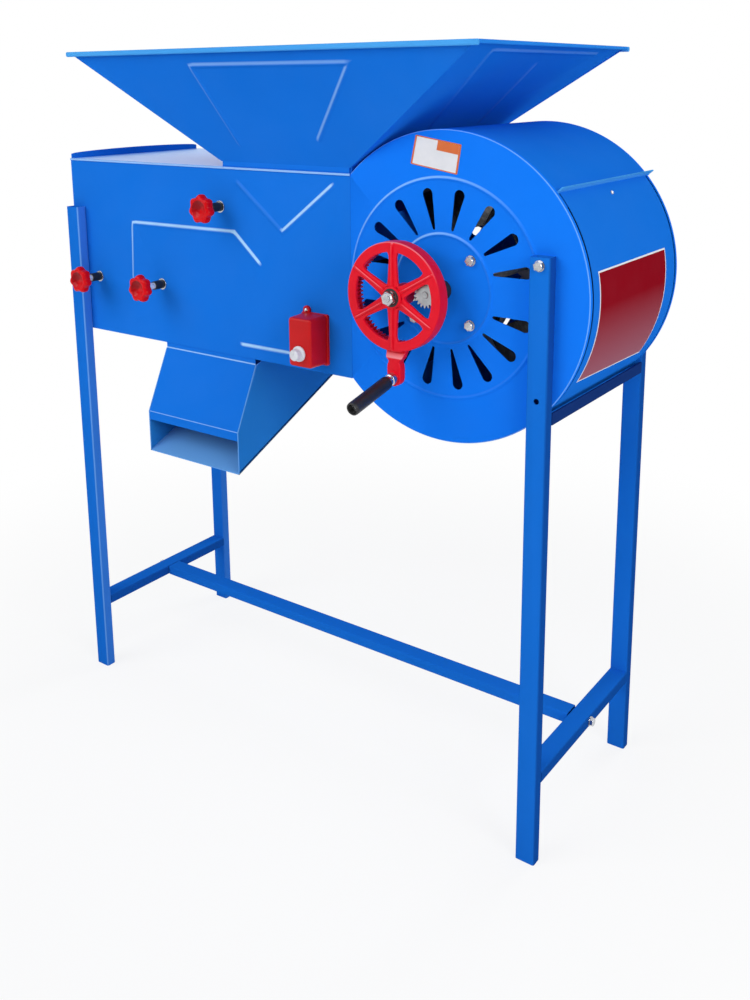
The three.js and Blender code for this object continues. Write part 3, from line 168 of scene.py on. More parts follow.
def turned(profile, x=0.0, z=0.0, steps=72, closed=False):
    """A profile of (radius, y) turned about an axis along Y."""
    count = len(profile)
    verts, faces = [], []
    for i in range(steps):
        turn = 2 * math.pi * i / steps
        verts += [(x + r * math.cos(turn), y, z + r * math.sin(turn)) for r, y in profile]
    for i in range(steps):
        a, b = i * count, (i + 1) % steps * count
        for k in range(count if closed else count - 1):
            n = (k + 1) % count
            faces.append((a + k, a + n, b + n, b + k))
    return verts, faces


def loft(rings):
    """A closed skin through rows of rings with the same number of points."""
    count = len(rings[0])
    verts = [tuple(p) for ring in rings for p in ring]
    faces = []
    for r in range(len(rings) - 1):
        for i in range(count):
            n = (i + 1) % count
            faces.append((r * count + i, r * count + n, (r + 1) * count + n, (r + 1) * count + i))
    faces.append(tuple(range(count)))
    faces.append(tuple(range(len(verts) - count, len(verts))))
    return verts, faces


def is_inside(point, loop):
    x, y = point
    inside = False
    for i in range(len(loop)):
        (x0, y0), (x1, y1) = loop[i - 1], loop[i]
        if (y0 > y) != (y1 > y) and x < (x1 - x0) * (y - y0) / (y1 - y0) + x0:
            inside = not inside
    return inside


def filled(outline, holes=(), marks=()):
    """Triangles of an outline without its holes, with points along each mark."""
    points, edges = [], []
    for loop, is_closed in [(outline, True)] + [(h, True) for h in holes] + list(marks):
        base = len(points)
        points += [Vector(p) for p in loop]
        edges += [(base + i, base + i + 1) for i in range(len(loop) - 1)]
        if is_closed:
            edges.append((base + len(loop) - 1, base))
    verts, _, faces, *_ = delaunay_2d_cdt(points, edges, [], 1, FILL_SLACK)
    kept = []
    for face in faces:
        middle = sum((verts[i] for i in face), Vector((0, 0))) / len(face)
        if is_inside(middle, outline) and not any(is_inside(middle, h) for h in holes):
            kept.append(tuple(face))
    return [tuple(v) for v in verts], kept


def slab(flat, front, back):
    """Closes a filled outline into a solid: front and back place each flat point."""
    points, faces = flat
    used = sorted({i for face in faces for i in face})
    place = {old: new for new, old in enumerate(used)}
    verts = [front(*points[i]) for i in used] + [back(*points[i]) for i in used]
    count = len(used)
    tops = [tuple(place[i] for i in face) for face in faces]
    sides = {}
    for face in tops:
        for a, b in zip(face, face[1:] + face[:1]):
            if sides.pop((b, a), None) is None:
                sides[(a, b)] = True
    out = list(tops) + [tuple(i + count for i in reversed(face)) for face in tops]
    out += [(b, a, a + count, b + count) for a, b in sides]
    return verts, out


def plate(outline, low, high, holes=()):
    """An outline in (x, z) between two depths."""
    return slab(filled(outline, holes), lambda u, v: (u, low, v), lambda u, v: (u, high, v))


def across(shape):
    """Turns a plate of (y, z) outlines so that its depth runs along X."""
    verts, faces = shape
    return [(y, x, z) for x, y, z in verts], faces


def upright(shape):
    """Turns a plate of (x, y) outlines so that its depth runs along Z."""
    verts, faces = shape
    return [(x, z, y) for x, y, z in verts], faces


def shifted(points, distance):
    """A line of points moved to its right by a distance, with mitred corners."""
    out = []
    for i, p in enumerate(points):
        here = Vector(p)
        before = (here - Vector(points[max(i - 1, 0)])).normalized()
        after = (Vector(points[min(i + 1, len(points) - 1)]) - here).normalized()
        along = (before + after).normalized()
        reach = distance / max(along.dot(after if after.length else before), SHARPEST_MITRE)
        out.append((here.x + along.y * reach, here.y - along.x * reach))
    return out


def bent(points, thickness):
    """The outline of a sheet of even thickness along a line of points."""
    return shifted(points, -thickness / 2) + shifted(points, thickness / 2)[::-1]


def moved(shape, matrix):
    verts, faces = shape
    return [tuple(matrix @ Vector(v)) for v in verts], faces


def joined(*shapes):
    verts, faces = [], []
    for more, skins in shapes:
        base = len(verts)
        verts += more
        faces += [tuple(i + base for i in face) for face in skins]
    return verts, faces


def piece(name, shape, body, slot, finish, stands_for=(), sharp=32, matrix=None):
    """Makes a finished piece from points in millimetres."""
    verts, faces = shape
    mesh = bpy.data.meshes.new(name)
    mesh.from_pydata([TO_FRAME @ (matrix @ Vector(v) if matrix else Vector(v)) for v in verts], [], faces)
    return dress(name, mesh, body, slot, finish, stands_for, sharp)


def dress(name, mesh, body, slot, finish, stands_for=(), sharp=32):
    """Tidies a mesh and gives it its body, finish and place in the model."""
    tidy = bmesh.new()
    tidy.from_mesh(mesh)
    bmesh.ops.remove_doubles(tidy, verts=tidy.verts, dist=MERGE_WITHIN)
    bmesh.ops.recalc_face_normals(tidy, faces=tidy.faces)
    tidy.to_mesh(mesh)
    tidy.free()
    mesh.name = name
    mesh.materials.clear()
    mesh.materials.append(finish)
    mesh.shade_smooth()
    mesh.set_sharp_from_angle(angle=math.radians(sharp))
    made = bpy.data.objects.new(name, mesh)
    bpy.context.scene.collection.objects.link(made)
    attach(made, body)
    if stands_for:
        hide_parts(*stands_for)
    return made


def settled(made):
    """The mesh that an object's modifiers give."""
    bpy.context.view_layer.update()
    graph = bpy.context.evaluated_depsgraph_get()
    mesh = bpy.data.meshes.new_from_object(made.evaluated_get(graph))
    made.modifiers.clear()
    bpy.data.objects.remove(made)
    return mesh


def loose(name, verts, faces=(), edges=()):
    mesh = bpy.data.meshes.new(name)
    mesh.from_pydata([tuple(v) for v in verts], list(edges), list(faces))
    made = bpy.data.objects.new(name, mesh)
    bpy.context.scene.collection.objects.link(made)
    return made


# Pressed sheets
RIDGE = {"half": 4.2, "line_half": 6.2, "height": 1.8, "ramp": 8, "end_turn": 60, "end_steps": 4,
         "ring_steps": 160}
RIDGE_LEVELS = (1, 0.75, 0.5, 0.25)
FAR = 1e9


def ridge_height(distance, half, ramp=1.0):
    share = min(distance / half, 1)
    return RIDGE["height"] * ramp * (0.5 + 0.5 * math.cos(math.pi * share))


def along_line(point, line):
    """How far a point is from a line of points, and how far its place there is from
    the nearer end."""
    best, reach, run = FAR, 0.0, 0.0
    p = Vector(point)
    for a, b in zip(line, line[1:]):
        a, b = Vector(a), Vector(b)
        step = b - a
        t = max(0.0, min(1.0, (p - a).dot(step) / step.length_squared))
        away = (a + step * t - p).length
        if away < best:
            best, reach = away, run + step.length * t
        run += step.length
    return best, min(reach, run - reach)


def beside(line, distance):
    """A closed loop that runs round a line of points at a distance."""
    loops = []
    for points in (line, line[::-1]):
        loops += shifted(points, distance)
        ahead = Vector(points[-1]) - Vector(points[-2])
        facing = math.degrees(math.atan2(ahead.y, ahead.x))
        turn, steps = RIDGE["end_turn"], RIDGE["end_steps"]
        loops += arc(distance, facing - turn, facing + turn, steps, *points[-1])
    return loops


def with_ramps(line):
    """A line of points with one more point near each end of its straights, so that
    a ridge is full soon after its end and can change its shade near a corner."""
    out = [tuple(line[0])]
    for a, b in zip(line, line[1:]):
        a, b = Vector(a), Vector(b)
        step = (b - a).normalized() * RIDGE["ramp"]
        out += [tuple(a + step), tuple(b - step), tuple(b)]
    return out


def pressed(outline, holes=(), lines=(), rings=(), crease=None):
    """A sheet with pressed ridges: returns its flat triangles and its heights."""
    lines = [with_ramps(line) for line in lines]
    marks, steps = [], RIDGE["ring_steps"]
    for line in lines:
        marks += [(beside(line, RIDGE["line_half"] * s), True) for s in RIDGE_LEVELS]
        marks.append((list(line), False))
    for radius in rings:
        for s in RIDGE_LEVELS:
            marks += [(circle(radius + way * RIDGE["half"] * s, steps), True) for way in (-1, 1)]
        marks.append((circle(radius, steps), True))

    def height(u, v):
        best = 0.0
        for radius in rings:
            best = max(best, ridge_height(abs(math.hypot(u, v) - radius), RIDGE["half"]))
        for line in lines:
            away, reach = along_line((u, v), line)
            if away < RIDGE["line_half"]:
                best = max(best, ridge_height(away, RIDGE["line_half"], min(1.0, reach / RIDGE["ramp"])))
        return best
    return filled(outline, holes, marks + list(crease or [])), height


def sheet_on(flat, height, matrix):
    """Stands a pressed sheet on a plane given by its matrix of (u, v, out)."""
    return slab(flat, lambda u, v: tuple(matrix @ Vector((u, v, height(u, v)))),
                lambda u, v: tuple(matrix @ Vector((u, v, height(u, v) - SHEET))))


# Finishes
class Finish:
    """A shader being built: its nodes, links and the surface's own sockets."""

    def __init__(self, name, roughness, metallic=0.0, specular=0.5, coat=0.0, coat_roughness=0.1):
        self.material = bpy.data.materials.new(name)
        self.material.use_nodes = True
        self.tree = self.material.node_tree
        self.surface = self.tree.nodes["Principled BSDF"]
        self.set(self.surface, Roughness=roughness, Metallic=metallic)
        self.surface.inputs["Specular IOR Level"].default_value = specular
        self.surface.inputs["Coat Weight"].default_value = coat
        self.surface.inputs["Coat Roughness"].default_value = coat_roughness
        self.place = self.tree.nodes.new("ShaderNodeTexCoord").outputs["Object"]

    def set(self, node, **values):
        for key, value in values.items():
            node.inputs[key.replace("_", " ")].default_value = value

    def link(self, output, node, key):
        self.tree.links.new(output, node.inputs[key])

    def noise(self, scale, detail=2.0, stretch=None):
        node = self.tree.nodes.new("ShaderNodeTexNoise")
        self.set(node, Scale=scale, Detail=detail)
        source = self.place
        if stretch:
            turn = self.tree.nodes.new("ShaderNodeMapping")
            turn.inputs["Scale"].default_value = stretch
            self.link(self.place, turn, "Vector")
            source = turn.outputs["Vector"]
        self.link(source, node, "Vector")
        return node.outputs["Fac"]

    def ramp(self, source, stops):
        node = self.tree.nodes.new("ShaderNodeValToRGB")
        band = node.color_ramp
        while len(band.elements) < len(stops):
            band.elements.new(0.5)
        for element, (at, color) in zip(band.elements, stops):
            element.position = at
            element.color = (*color, 1) if hasattr(color, "__len__") else (color, color, color, 1)
        self.link(source, node, "Fac")
        return node.outputs["Color"]

    def mix(self, share, low, high):
        node = self.tree.nodes.new("ShaderNodeMix")
        node.data_type = "RGBA"
        if hasattr(share, "is_linked"):
            self.tree.links.new(share, node.inputs[0])
        else:
            node.inputs[0].default_value = share
        for socket, color in ((node.inputs[6], low), (node.inputs[7], high)):
            if hasattr(color, "is_linked"):
                self.tree.links.new(color, socket)
            else:
                socket.default_value = (*color, 1)
        return node.outputs[2]

    def scaled(self, source, low, high):
        node = self.tree.nodes.new("ShaderNodeMapRange")
        self.set(node, To_Min=low, To_Max=high)
        self.link(source, node, "Value")
        return node.outputs["Result"]

    def mark(self, name):
        node = self.tree.nodes.new("ShaderNodeAttribute")
        node.attribute_name = name
        return node.outputs["Fac"]

    def height(self, low, high):
        """Nothing at one height, in metres, and full at another."""
        node = self.tree.nodes.new("ShaderNodeSeparateXYZ")
        self.link(self.place, node, "Vector")
        share = self.tree.nodes.new("ShaderNodeMapRange")
        self.set(share, From_Min=low, From_Max=high)
        self.link(node.outputs["Z"], share, "Value")
        return share.outputs["Result"]

    def bump(self, source, distance, strength=1.0):
        node = self.tree.nodes.new("ShaderNodeBump")
        self.set(node, Distance=distance, Strength=strength)
        self.link(source, node, "Height")
        self.link(node.outputs["Normal"], self.surface, "Normal")

    def color(self, source):
        self.link(source, self.surface, "Base Color")

    def rough(self, source):
        self.link(source, self.surface, "Roughness")


def stoved_paint(name, tone, deep, pale, roughness=0.42, specular=0.0, coat=0.0, coat_roughness=0.1,
                 painted_shade=None):
    """Stoved paint on sheet: slow drift of tone, orange peel, and a pale painted
    highlight on pressed ridges and rolled edges. The last argument is a darker tone painted on as shade."""
    f = Finish(name, roughness, specular=specular, coat=coat, coat_roughness=coat_roughness)
    drift = f.ramp(f.noise(scale=2.2, detail=3), [(0.3, deep), (0.7, tone)])
    flow = f.mix(f.scaled(f.noise(scale=14, detail=4), 0.0, 0.02), drift, pale)
    # Painted highlight where a piece marks its points
    shown = f.mix(f.mark("painted_highlight"), flow, pale)
    f.color(f.mix(f.mark("painted_shade"), shown, painted_shade) if painted_shade else shown)
    f.rough(f.scaled(f.noise(scale=55, detail=3), roughness - 0.05, roughness + 0.07))
    f.bump(f.noise(scale=650, detail=2), distance=0.00006, strength=0.5)
    return f.material


def cast_paint(name, tone, deep, pale, highlight):
    """Paint on a casting, clouded in tone, with a pale painted highlight on its ribs and rim edge."""
    f = Finish(name, 0.34, specular=0.18)
    clouds = f.scaled(f.noise(scale=60, detail=4), 0.0, 0.12)
    coat = f.mix(clouds, f.ramp(f.noise(scale=9, detail=3), [(0.3, deep), (0.7, tone)]), pale)
    f.color(f.mix(f.mark("painted_highlight"), coat, highlight))
    f.rough(f.scaled(f.noise(scale=120, detail=3), 0.27, 0.45))
    f.bump(f.noise(scale=420, detail=4), distance=0.00022, strength=0.6)
    return f.material


def moulded(name, tone, deep, roughness, grain=900, depth=0.00005, specular=0.5, hollow=None):
    """Moulded plastic; hollow is a darker tone painted in a dish as shade."""
    f = Finish(name, roughness, specular=specular)
    shown = f.ramp(f.noise(scale=35, detail=3), [(0.25, deep), (0.75, tone)])
    f.color(f.mix(f.mark("hollow"), shown, hollow) if hollow else shown)
    f.rough(f.scaled(f.noise(scale=180, detail=3), roughness - 0.06, roughness + 0.08))
    f.bump(f.noise(scale=grain, detail=3), distance=depth, strength=0.6)
    return f.material


def plated(name, bright, dull, roughness, metallic=1.0):
    """Bright plating with faint clouding and fine turning marks."""
    f = Finish(name, roughness, metallic=metallic)
    f.color(f.ramp(f.noise(scale=110, detail=4), [(0.25, dull), (0.7, bright)]))
    f.rough(f.scaled(f.noise(scale=240, detail=3), roughness - 0.08, roughness + 0.12))
    f.bump(f.noise(scale=500, detail=2, stretch=(1, 6, 1)), distance=0.00003, strength=0.5)
    return f.material


def galvanised(name):
    """Zinc-coated sheet with its spangle of crystals, its tone made very dark as painted shade of blades
    deep inside the drum.
    """
    f = Finish(name, 0.38, metallic=1.0)
    cells = f.tree.nodes.new("ShaderNodeTexVoronoi")
    f.set(cells, Scale=130)
    f.link(f.place, cells, "Vector")
    dark, light = (0.07, 0.075, 0.08), (0.13, 0.135, 0.14)
    f.color(f.ramp(cells.outputs["Color"], [(0.2, dark), (0.8, light)]))
    f.rough(f.scaled(cells.outputs["Distance"], 0.3, 0.5))
    f.bump(f.noise(scale=300, detail=2), distance=0.00004, strength=0.5)
    return f.material


def printed(name, top, bottom, low, high):
    """A bare printed plate whose colour fades down its height."""
    f = Finish(name, 0.4, specular=0.0)
    fade = f.mix(f.height(low, high), bottom, top)
    f.color(f.mix(f.scaled(f.noise(scale=25, detail=4), 0.0, 0.05), fade, bottom))
    f.rough(f.scaled(f.noise(scale=90, detail=3), 0.24, 0.38))
    f.bump(f.noise(scale=700, detail=2), distance=0.00003, strength=0.4)
    return f.material


# Each blue with its tone, its deeper tone and the pale one of its painted highlight on ridges and edges
BLUE = stoved_paint("blue_paint", (0.0070, 0.172, 0.735), (0.0055, 0.155, 0.675), (0.42, 0.68, 0.98))
BRIGHT = stoved_paint("bright_blue_paint", (0.0060, 0.200, 0.920), (0.0050, 0.172, 0.850),
                      (0.26, 0.54, 1.0))
# A blue for the tubes, with a darker tone painted on as shade on their right sides and low down
TUBE_BLUE = stoved_paint("tube_blue_paint", (0.0075, 0.168, 0.700), (0.0058, 0.150, 0.640),
                         (0.30, 0.58, 0.98), painted_shade=(0.0062, 0.072, 0.340))
SHADED = stoved_paint("shaded_blue_paint", (0.0190, 0.200, 0.600), (0.0165, 0.185, 0.560),
                      (0.20, 0.46, 0.90))
# Painted shade: a much darker copy of the blue for the cradle under the drum
SHADED_CRADLE_BLUE = stoved_paint("under_blue_painted_shade", (0.009, 0.036, 0.175), (0.008, 0.032, 0.160), (0.10, 0.25, 0.60))
# Painted shadow: a near-black blue for strips laid along the chute's seams
SEAM_SHADOW_BLUE = stoved_paint("seam_painted_shadow_paint", (0.0030, 0.018, 0.090), (0.0026, 0.015, 0.080),
                         (0.02, 0.06, 0.20))
# Painted reflection: the duct's top takes a pale copy of the blue for the white room it mirrors, with real
# gloss and coat as well
TOP_REFLECTION_BLUE = stoved_paint("glossy_painted_reflection_paint", (0.170, 0.480, 1.000), (0.150, 0.440, 0.970), (0.24, 0.50, 0.95),
                      roughness=0.42, specular=0.8, coat=0.8, coat_roughness=0.36)
# Painted highlight: paler copies of the blue for rolled hems and the door lip's edge, the end hems' copy
# less pale
HIGHLIT_EDGE_BLUE = stoved_paint("highlit_edge_paint", (0.075, 0.380, 0.850), (0.055, 0.330, 0.800), (0.30, 0.60, 0.95))
FAINT_HIGHLIT_HEM_BLUE = stoved_paint("faint_highlit_end_paint", (0.022, 0.235, 0.780), (0.018, 0.215, 0.740),
                        (0.30, 0.60, 0.95))
RED = cast_paint("red_casting_paint", (0.78, 0.0012, 0.016), (0.68, 0.0010, 0.012), (0.88, 0.035, 0.08),
                 highlight=(0.90, 0.34, 0.38))
# The knobs' red, with a dark tone for the painted shade in their dish
KNOB_RED = moulded("red_moulding", (0.70, 0.0010, 0.006), (0.58, 0.0008, 0.004), 0.20,
                   specular=0.14, hollow=(0.22, 0.0006, 0.004))
BOX_RED = moulded("red_box_moulding", (0.60, 0.0018, 0.004), (0.50, 0.0014, 0.003), 0.36,
                  grain=420, depth=0.00008, specular=0.25)
WHITE = moulded("white_moulding", (0.70, 0.71, 0.75), (0.62, 0.63, 0.68), 0.34)
BLACK = moulded("black_moulding", (0.012, 0.012, 0.014), (0.007, 0.007, 0.008), 0.42)
GRIP = moulded("black_grip", (0.016, 0.016, 0.018), (0.008, 0.008, 0.009), 0.40,
               grain=240, depth=0.00012)
ZINC = plated("bright_zinc", (0.66, 0.67, 0.69), (0.46, 0.48, 0.51), 0.22)
STEEL = plated("plain_steel", (0.50, 0.51, 0.53), (0.34, 0.36, 0.38), 0.36)
ROD_ZINC = plated("rod_zinc", (0.86, 0.88, 0.92), (0.56, 0.58, 0.62), 0.28, metallic=0.3)
SHADED_SPANGLE = galvanised("shaded_spangled_zinc")
IRON = moulded("black_iron", (0.020, 0.020, 0.023), (0.010, 0.010, 0.012), 0.5,
               grain=260, depth=0.0002, specular=0.4)
MOTOR = moulded("grey_motor_paint", (0.115, 0.130, 0.150), (0.080, 0.092, 0.108), 0.45,
                grain=300, depth=0.0002, specular=0.4)
PLATE_WHITE = moulded("pale_plate", (0.80, 0.80, 0.82), (0.70, 0.71, 0.74), 0.32,
                      grain=700, depth=0.00003)
PLATE_ORANGE = moulded("orange_plate", (0.72, 0.16, 0.03), (0.62, 0.12, 0.02), 0.32,
                       grain=700, depth=0.00003)
PLATE_RED = printed("red_plate", (0.250, 0.0030, 0.010), (0.34, 0.125, 0.17), low=0.775, high=0.895)


# Room and lights
def room():
    """A white floor that fades into a white room, lit by three lamps."""
    reach = 9
    corners = [(-reach, -reach, 0), (reach, -reach, 0), (reach, reach, 0), (-reach, reach, 0)]
    floor = loose("floor", corners, [(0, 1, 2, 3)])
    f = Finish("pale_floor", 0.9, specular=0.0)
    f.color(f.ramp(f.noise(scale=1.5, detail=2), [(0.3, 0.86), (0.7, 0.89)]))
    tree = f.tree
    glow = tree.nodes.new("ShaderNodeEmission")
    blend = tree.nodes.new("ShaderNodeMixShader")
    ray = tree.nodes.new("ShaderNodeLightPath")
    share = tree.nodes.new("ShaderNodeMath")
    share.operation = "MULTIPLY"
    away = tree.nodes.new("ShaderNodeVectorMath")
    away.operation = "LENGTH"
    tree.links.new(f.place, away.inputs[0])
    clear = tree.nodes.new("ShaderNodeMapRange")
    clear.interpolation_type = "SMOOTHSTEP"
    f.set(clear, From_Min=0.7, From_Max=1.7, To_Min=0.83, To_Max=1.0)
    tree.links.new(away.outputs["Value"], clear.inputs["Value"])
    tree.links.new(clear.outputs["Result"], share.inputs[1])
    seen = tree.nodes.new("ShaderNodeMath")
    seen.operation = "MAXIMUM"
    tree.links.new(ray.outputs["Is Camera Ray"], seen.inputs[0])
    tree.links.new(ray.outputs["Is Glossy Ray"], seen.inputs[1])
    tree.links.new(seen.outputs[0], share.inputs[0])
    tree.links.new(share.outputs[0], blend.inputs[0])
    tree.links.new(f.surface.outputs[0], blend.inputs[1])
    tree.links.new(glow.outputs[0], blend.inputs[2])
    tree.links.new(blend.outputs[0], tree.nodes["Material Output"].inputs["Surface"])
    floor.data.materials.append(f.material)

    world = bpy.data.worlds.new("room")
    bpy.context.scene.world = world
    world.use_nodes = True
    tree = world.node_tree
    light = tree.nodes["Background"]
    light.inputs["Color"].default_value = (0.94, 0.97, 1.0, 1)
    light.inputs["Strength"].default_value = 0.42
    white = tree.nodes.new("ShaderNodeBackground")
    white.inputs["Color"].default_value = (1, 1, 1, 1)
    ray = tree.nodes.new("ShaderNodeLightPath")
    either = tree.nodes.new("ShaderNodeMath")
    either.operation = "MAXIMUM"
    every = tree.nodes.new("ShaderNodeMath")
    every.operation = "MAXIMUM"
    blend = tree.nodes.new("ShaderNodeMixShader")
    tree.links.new(ray.outputs["Is Camera Ray"], either.inputs[0])
    tree.links.new(ray.outputs["Is Glossy Ray"], either.inputs[1])
    tree.links.new(either.outputs[0], every.inputs[0])
    tree.links.new(ray.outputs["Is Transmission Ray"], every.inputs[1])
    tree.links.new(every.outputs[0], blend.inputs[0])
    tree.links.new(light.outputs[0], blend.inputs[1])
    tree.links.new(white.outputs[0], blend.inputs[2])
    tree.links.new(blend.outputs[0], tree.nodes["World Output"].inputs["Surface"])

    # Polished faces see a room that is darker towards the front and the ground
    way = tree.nodes.new("ShaderNodeTexCoord")
    lean = tree.nodes.new("ShaderNodeVectorMath")
    lean.operation = "DOT_PRODUCT"
    lean.inputs[1].default_value = (0.1, 0.8, 0.6)
    tree.links.new(way.outputs["Generated"], lean.inputs[0])
    shade = tree.nodes.new("ShaderNodeMapRange")
    for key, value in (("From Min", -0.75), ("From Max", 0.3), ("To Min", 0.16), ("To Max", 1.0)):
        shade.inputs[key].default_value = value
    tree.links.new(lean.outputs["Value"], shade.inputs["Value"])
    open_room = tree.nodes.new("ShaderNodeMath")
    open_room.operation = "MAXIMUM"
    tree.links.new(ray.outputs["Is Camera Ray"], open_room.inputs[0])
    tree.links.new(shade.outputs["Result"], open_room.inputs[1])
    tree.links.new(open_room.outputs[0], white.inputs["Strength"])

    middle = (0.0, 0.0, 0.75)
    lamp("key_lamp", (-1.7, -3.3, 3.0), middle, size=3.4, power=87)
    lamp("fill_lamp", (3.6, -1.4, 2.2), middle, size=2.0, power=64)
    lamp("back_lamp", (0.8, 3.6, 2.8), middle, size=2.0, power=46)
    bpy.context.scene.view_settings.view_transform = "Standard"


room()


# Fan drum's case
DISC_BEND = 3.0
DISC_RIM = 7.0
BEND_SHARES = (0, 0.25, 0.5, 0.75, 1)
RIM_STEPS = 200
RINGS = (168, 84)
SLOT = {"from": 94, "aimed_from": 20, "length": 52, "wide": 9, "narrow": 2.5}
SLOT_PLACES = [i * 20 for i in range(18) if i % 9]
LEG_X = (154.5, 154.5 + TUBE["width"])
LEG_TOP = 70
LEG_BOLT = (171, 56)
BOLT_HOLE = 4.3
BEARING_HOLE = 15.3
STUD_HOLE = 8.3
BRACKET_REACH = 49
BRACKET = [(BRACKET_REACH * i, BRACKET_REACH * j) for i, j in ((-1, -1), (1, -1), (1, 1), (-1, 1))]
MOTOR_BOLTS = [arc(61, 45 + 90 * i, 45 + 90 * i, 1)[0] for i in range(4)]
MOTOR_HOLE = 3.3
GEAR_CENTRES = 54
CRANK_BEARING = math.radians(188.5)
CRANK = (GEAR_CENTRES * math.cos(CRANK_BEARING), GEAR_CENTRES * math.sin(CRANK_BEARING))

# How pale the painted highlight on a pressed ridge is, by the way a point faces
UPPER_LEFT = Vector((-0.56, 0.80, 0))
RIDGE_HIGHLIGHT = {"by_facing": 1.9, "by_height": 0.10, "faint": 0.09, "plain": 0.95}
ON_RIDGE = {"above_sheet": 0.04, "slack": 0.05, "outward": 0.3, "upward": 0.04}
RING_HIGHLIGHT = {"least": 0.06, "start": 0.2, "gain": 0.85, "up": 0.95, "right": -0.3}


def paint_ridge_highlight(made, matrix, low=-FAR, strength=1.0, rings=(), faint=None, plain=None):
    """Stores, for the paint, the painted highlight on each point of a pressed
    ridge: most on the flank that faces up and to the left. The faint line's
    highlight hardly shows, and the plain one's is even along its upper flank."""
    inverse = (TO_FRAME @ matrix).inverted()
    turn = inverse.to_3x3().normalized()
    top, half = RIDGE["height"], RIDGE["line_half"]
    values = []
    for v in made.data.vertices:
        spot, facing = inverse @ v.co, (turn @ v.normal).normalized()
        is_raised = ON_RIDGE["above_sheet"] < spot.z < top + ON_RIDGE["slack"]
        pale = RIDGE_HIGHLIGHT["by_facing"] * facing.dot(UPPER_LEFT) + RIDGE_HIGHLIGHT["by_height"] * spot.z / top
        pale *= strength
        if faint and along_line((spot.x, spot.y), faint)[0] < half:
            pale *= RIDGE_HIGHLIGHT["faint"]
        if plain and facing.y > ON_RIDGE["upward"] and along_line((spot.x, spot.y), plain)[0] < half:
            pale = RIDGE_HIGHLIGHT["plain"]
        reach = math.hypot(spot.x, spot.y)
        if any(abs(reach - ring) < RIDGE["half"] for ring in rings):
            place = RING_HIGHLIGHT["up"] * spot.y + RING_HIGHLIGHT["right"] * spot.x
            share = RING_HIGHLIGHT["start"] + RING_HIGHLIGHT["gain"] * place / reach
            pale *= max(RING_HIGHLIGHT["least"], min(1.0, share))
        is_kept = is_raised and spot.y > low and facing.z > ON_RIDGE["outward"]
        values.append(max(0.0, min(1.0, pale)) if is_kept else 0.0)
    made.data.attributes.new("painted_highlight", "FLOAT", "POINT").data.foreach_set("value", values)


def highlight_where(made, matrix, test, value):
    """Paints a highlight on the points of a rolled edge that the test picks."""
    inverse = (TO_FRAME @ matrix).inverted()
    marks = made.data.attributes["painted_highlight"].data
    for v in made.data.vertices:
        if test(inverse @ v.co):
            marks[v.index].value = value


def slot_outline(turn):
    """A drop-shaped slot that points away from a spot above or below the axis."""
    x, z = arc(SLOT["from"], turn, turn, 1)[0]
    aim = math.degrees(math.atan2(z - math.copysign(SLOT["aimed_from"], z), x))
    wide = arc(SLOT["length"], aim, aim, 1, x, z)[0]
    return (arc(SLOT["wide"], aim - 90, aim + 90, 14, *wide)
            + arc(SLOT["narrow"], aim + 90, aim + 270, 6, x, z))


def fan_disc(name, node, matrix, holes):
    """A round side sheet with air slots, two pressed rings and a bent rim, flat
    where the leg stands against it."""
    bend_run = DISC_BEND * math.pi / 2
    bend_from = DRUM - DISC_BEND
    blank = bend_from + bend_run + DISC_RIM - DISC_BEND
    low = math.sqrt(bend_from ** 2 - SEAM ** 2)
    outline = arc(blank, -SEAM_ANGLE, SEAM_ANGLE, RIM_STEPS) + [(SEAM, low), (SEAM, -low)]
    cuts = [slot_outline(turn) for turn in SLOT_PLACES]
    cuts += [circle(r, 40, x, z) for r, x, z in holes]
    reaches = [bend_from + bend_run * share for share in BEND_SHARES]
    folds = [(arc(reach, -SEAM_ANGLE, SEAM_ANGLE, RIM_STEPS), False) for reach in reaches]
    flat, height = pressed(outline, cuts, rings=RINGS, crease=folds)

    def laid(depth):
        def spot(u, v):
            reach = math.hypot(u, v)
            if reach <= bend_from:
                is_at_leg = LEG_X[0] - 1 < u < LEG_X[1] + 1 and v < LEG_TOP
                lift = 0.0 if is_at_leg else height(u, v)
                return tuple(matrix @ Vector((u, v, lift - depth)))
            turn = min((reach - bend_from) / DISC_BEND, math.pi / 2)
            past = max(reach - bend_from - bend_run, 0)
            radius = bend_from + (DISC_BEND - depth) * math.sin(turn)
            back = DISC_BEND - (DISC_BEND - depth) * math.cos(turn) + past
            return tuple(matrix @ Vector((u / reach * radius, v / reach * radius, -back)))
        return spot

    def is_on_bend(spot):
        return -1.3 < spot.z < -0.5 and math.hypot(spot.x, spot.y) > bend_from + 0.5
    disc = slab(flat, laid(0), laid(SHEET))
    made = piece(name, disc, "frame", "bright_blue_paint", BRIGHT, [node], sharp=40)
    # Painted highlight on the pressed rings, most on their upper left arcs, and along the rim's bend
    paint_ridge_highlight(made, matrix, rings=RINGS)
    highlight_where(made, matrix, is_on_bend, 0.85)


both_discs = [(BEARING_HOLE, 0, 0), (BOLT_HOLE, *LEG_BOLT)]
bolt_room = [(BOLT_HOLE, x, z) for x, z in BRACKET]
motor_room = [(MOTOR_HOLE, x, z) for x, z in MOTOR_BOLTS]
fan_disc("front_fan_cover", "fan_front_disc", FRONT,
         bolt_room + [both_discs[0], (STUD_HOLE, *CRANK), both_discs[1]])
fan_disc("back_fan_cover", "fan_back_disc", BACK, motor_room + both_discs)

# The drum's rolled sheets; the door lies a little lower than the other two
DOOR = {"lowered": 0.5, "lip_at": 1.6, "lip": 10 + SHEET / 2, "lip_bend": 2.2, "edge_sheet": SHEET * 1.3,
        "edge_y": (7.5, WIDTH + 7)}
FILM = 0.4
LAP = {"under": 2.85, "past_edge": 6.2, "from_side": 11.4}


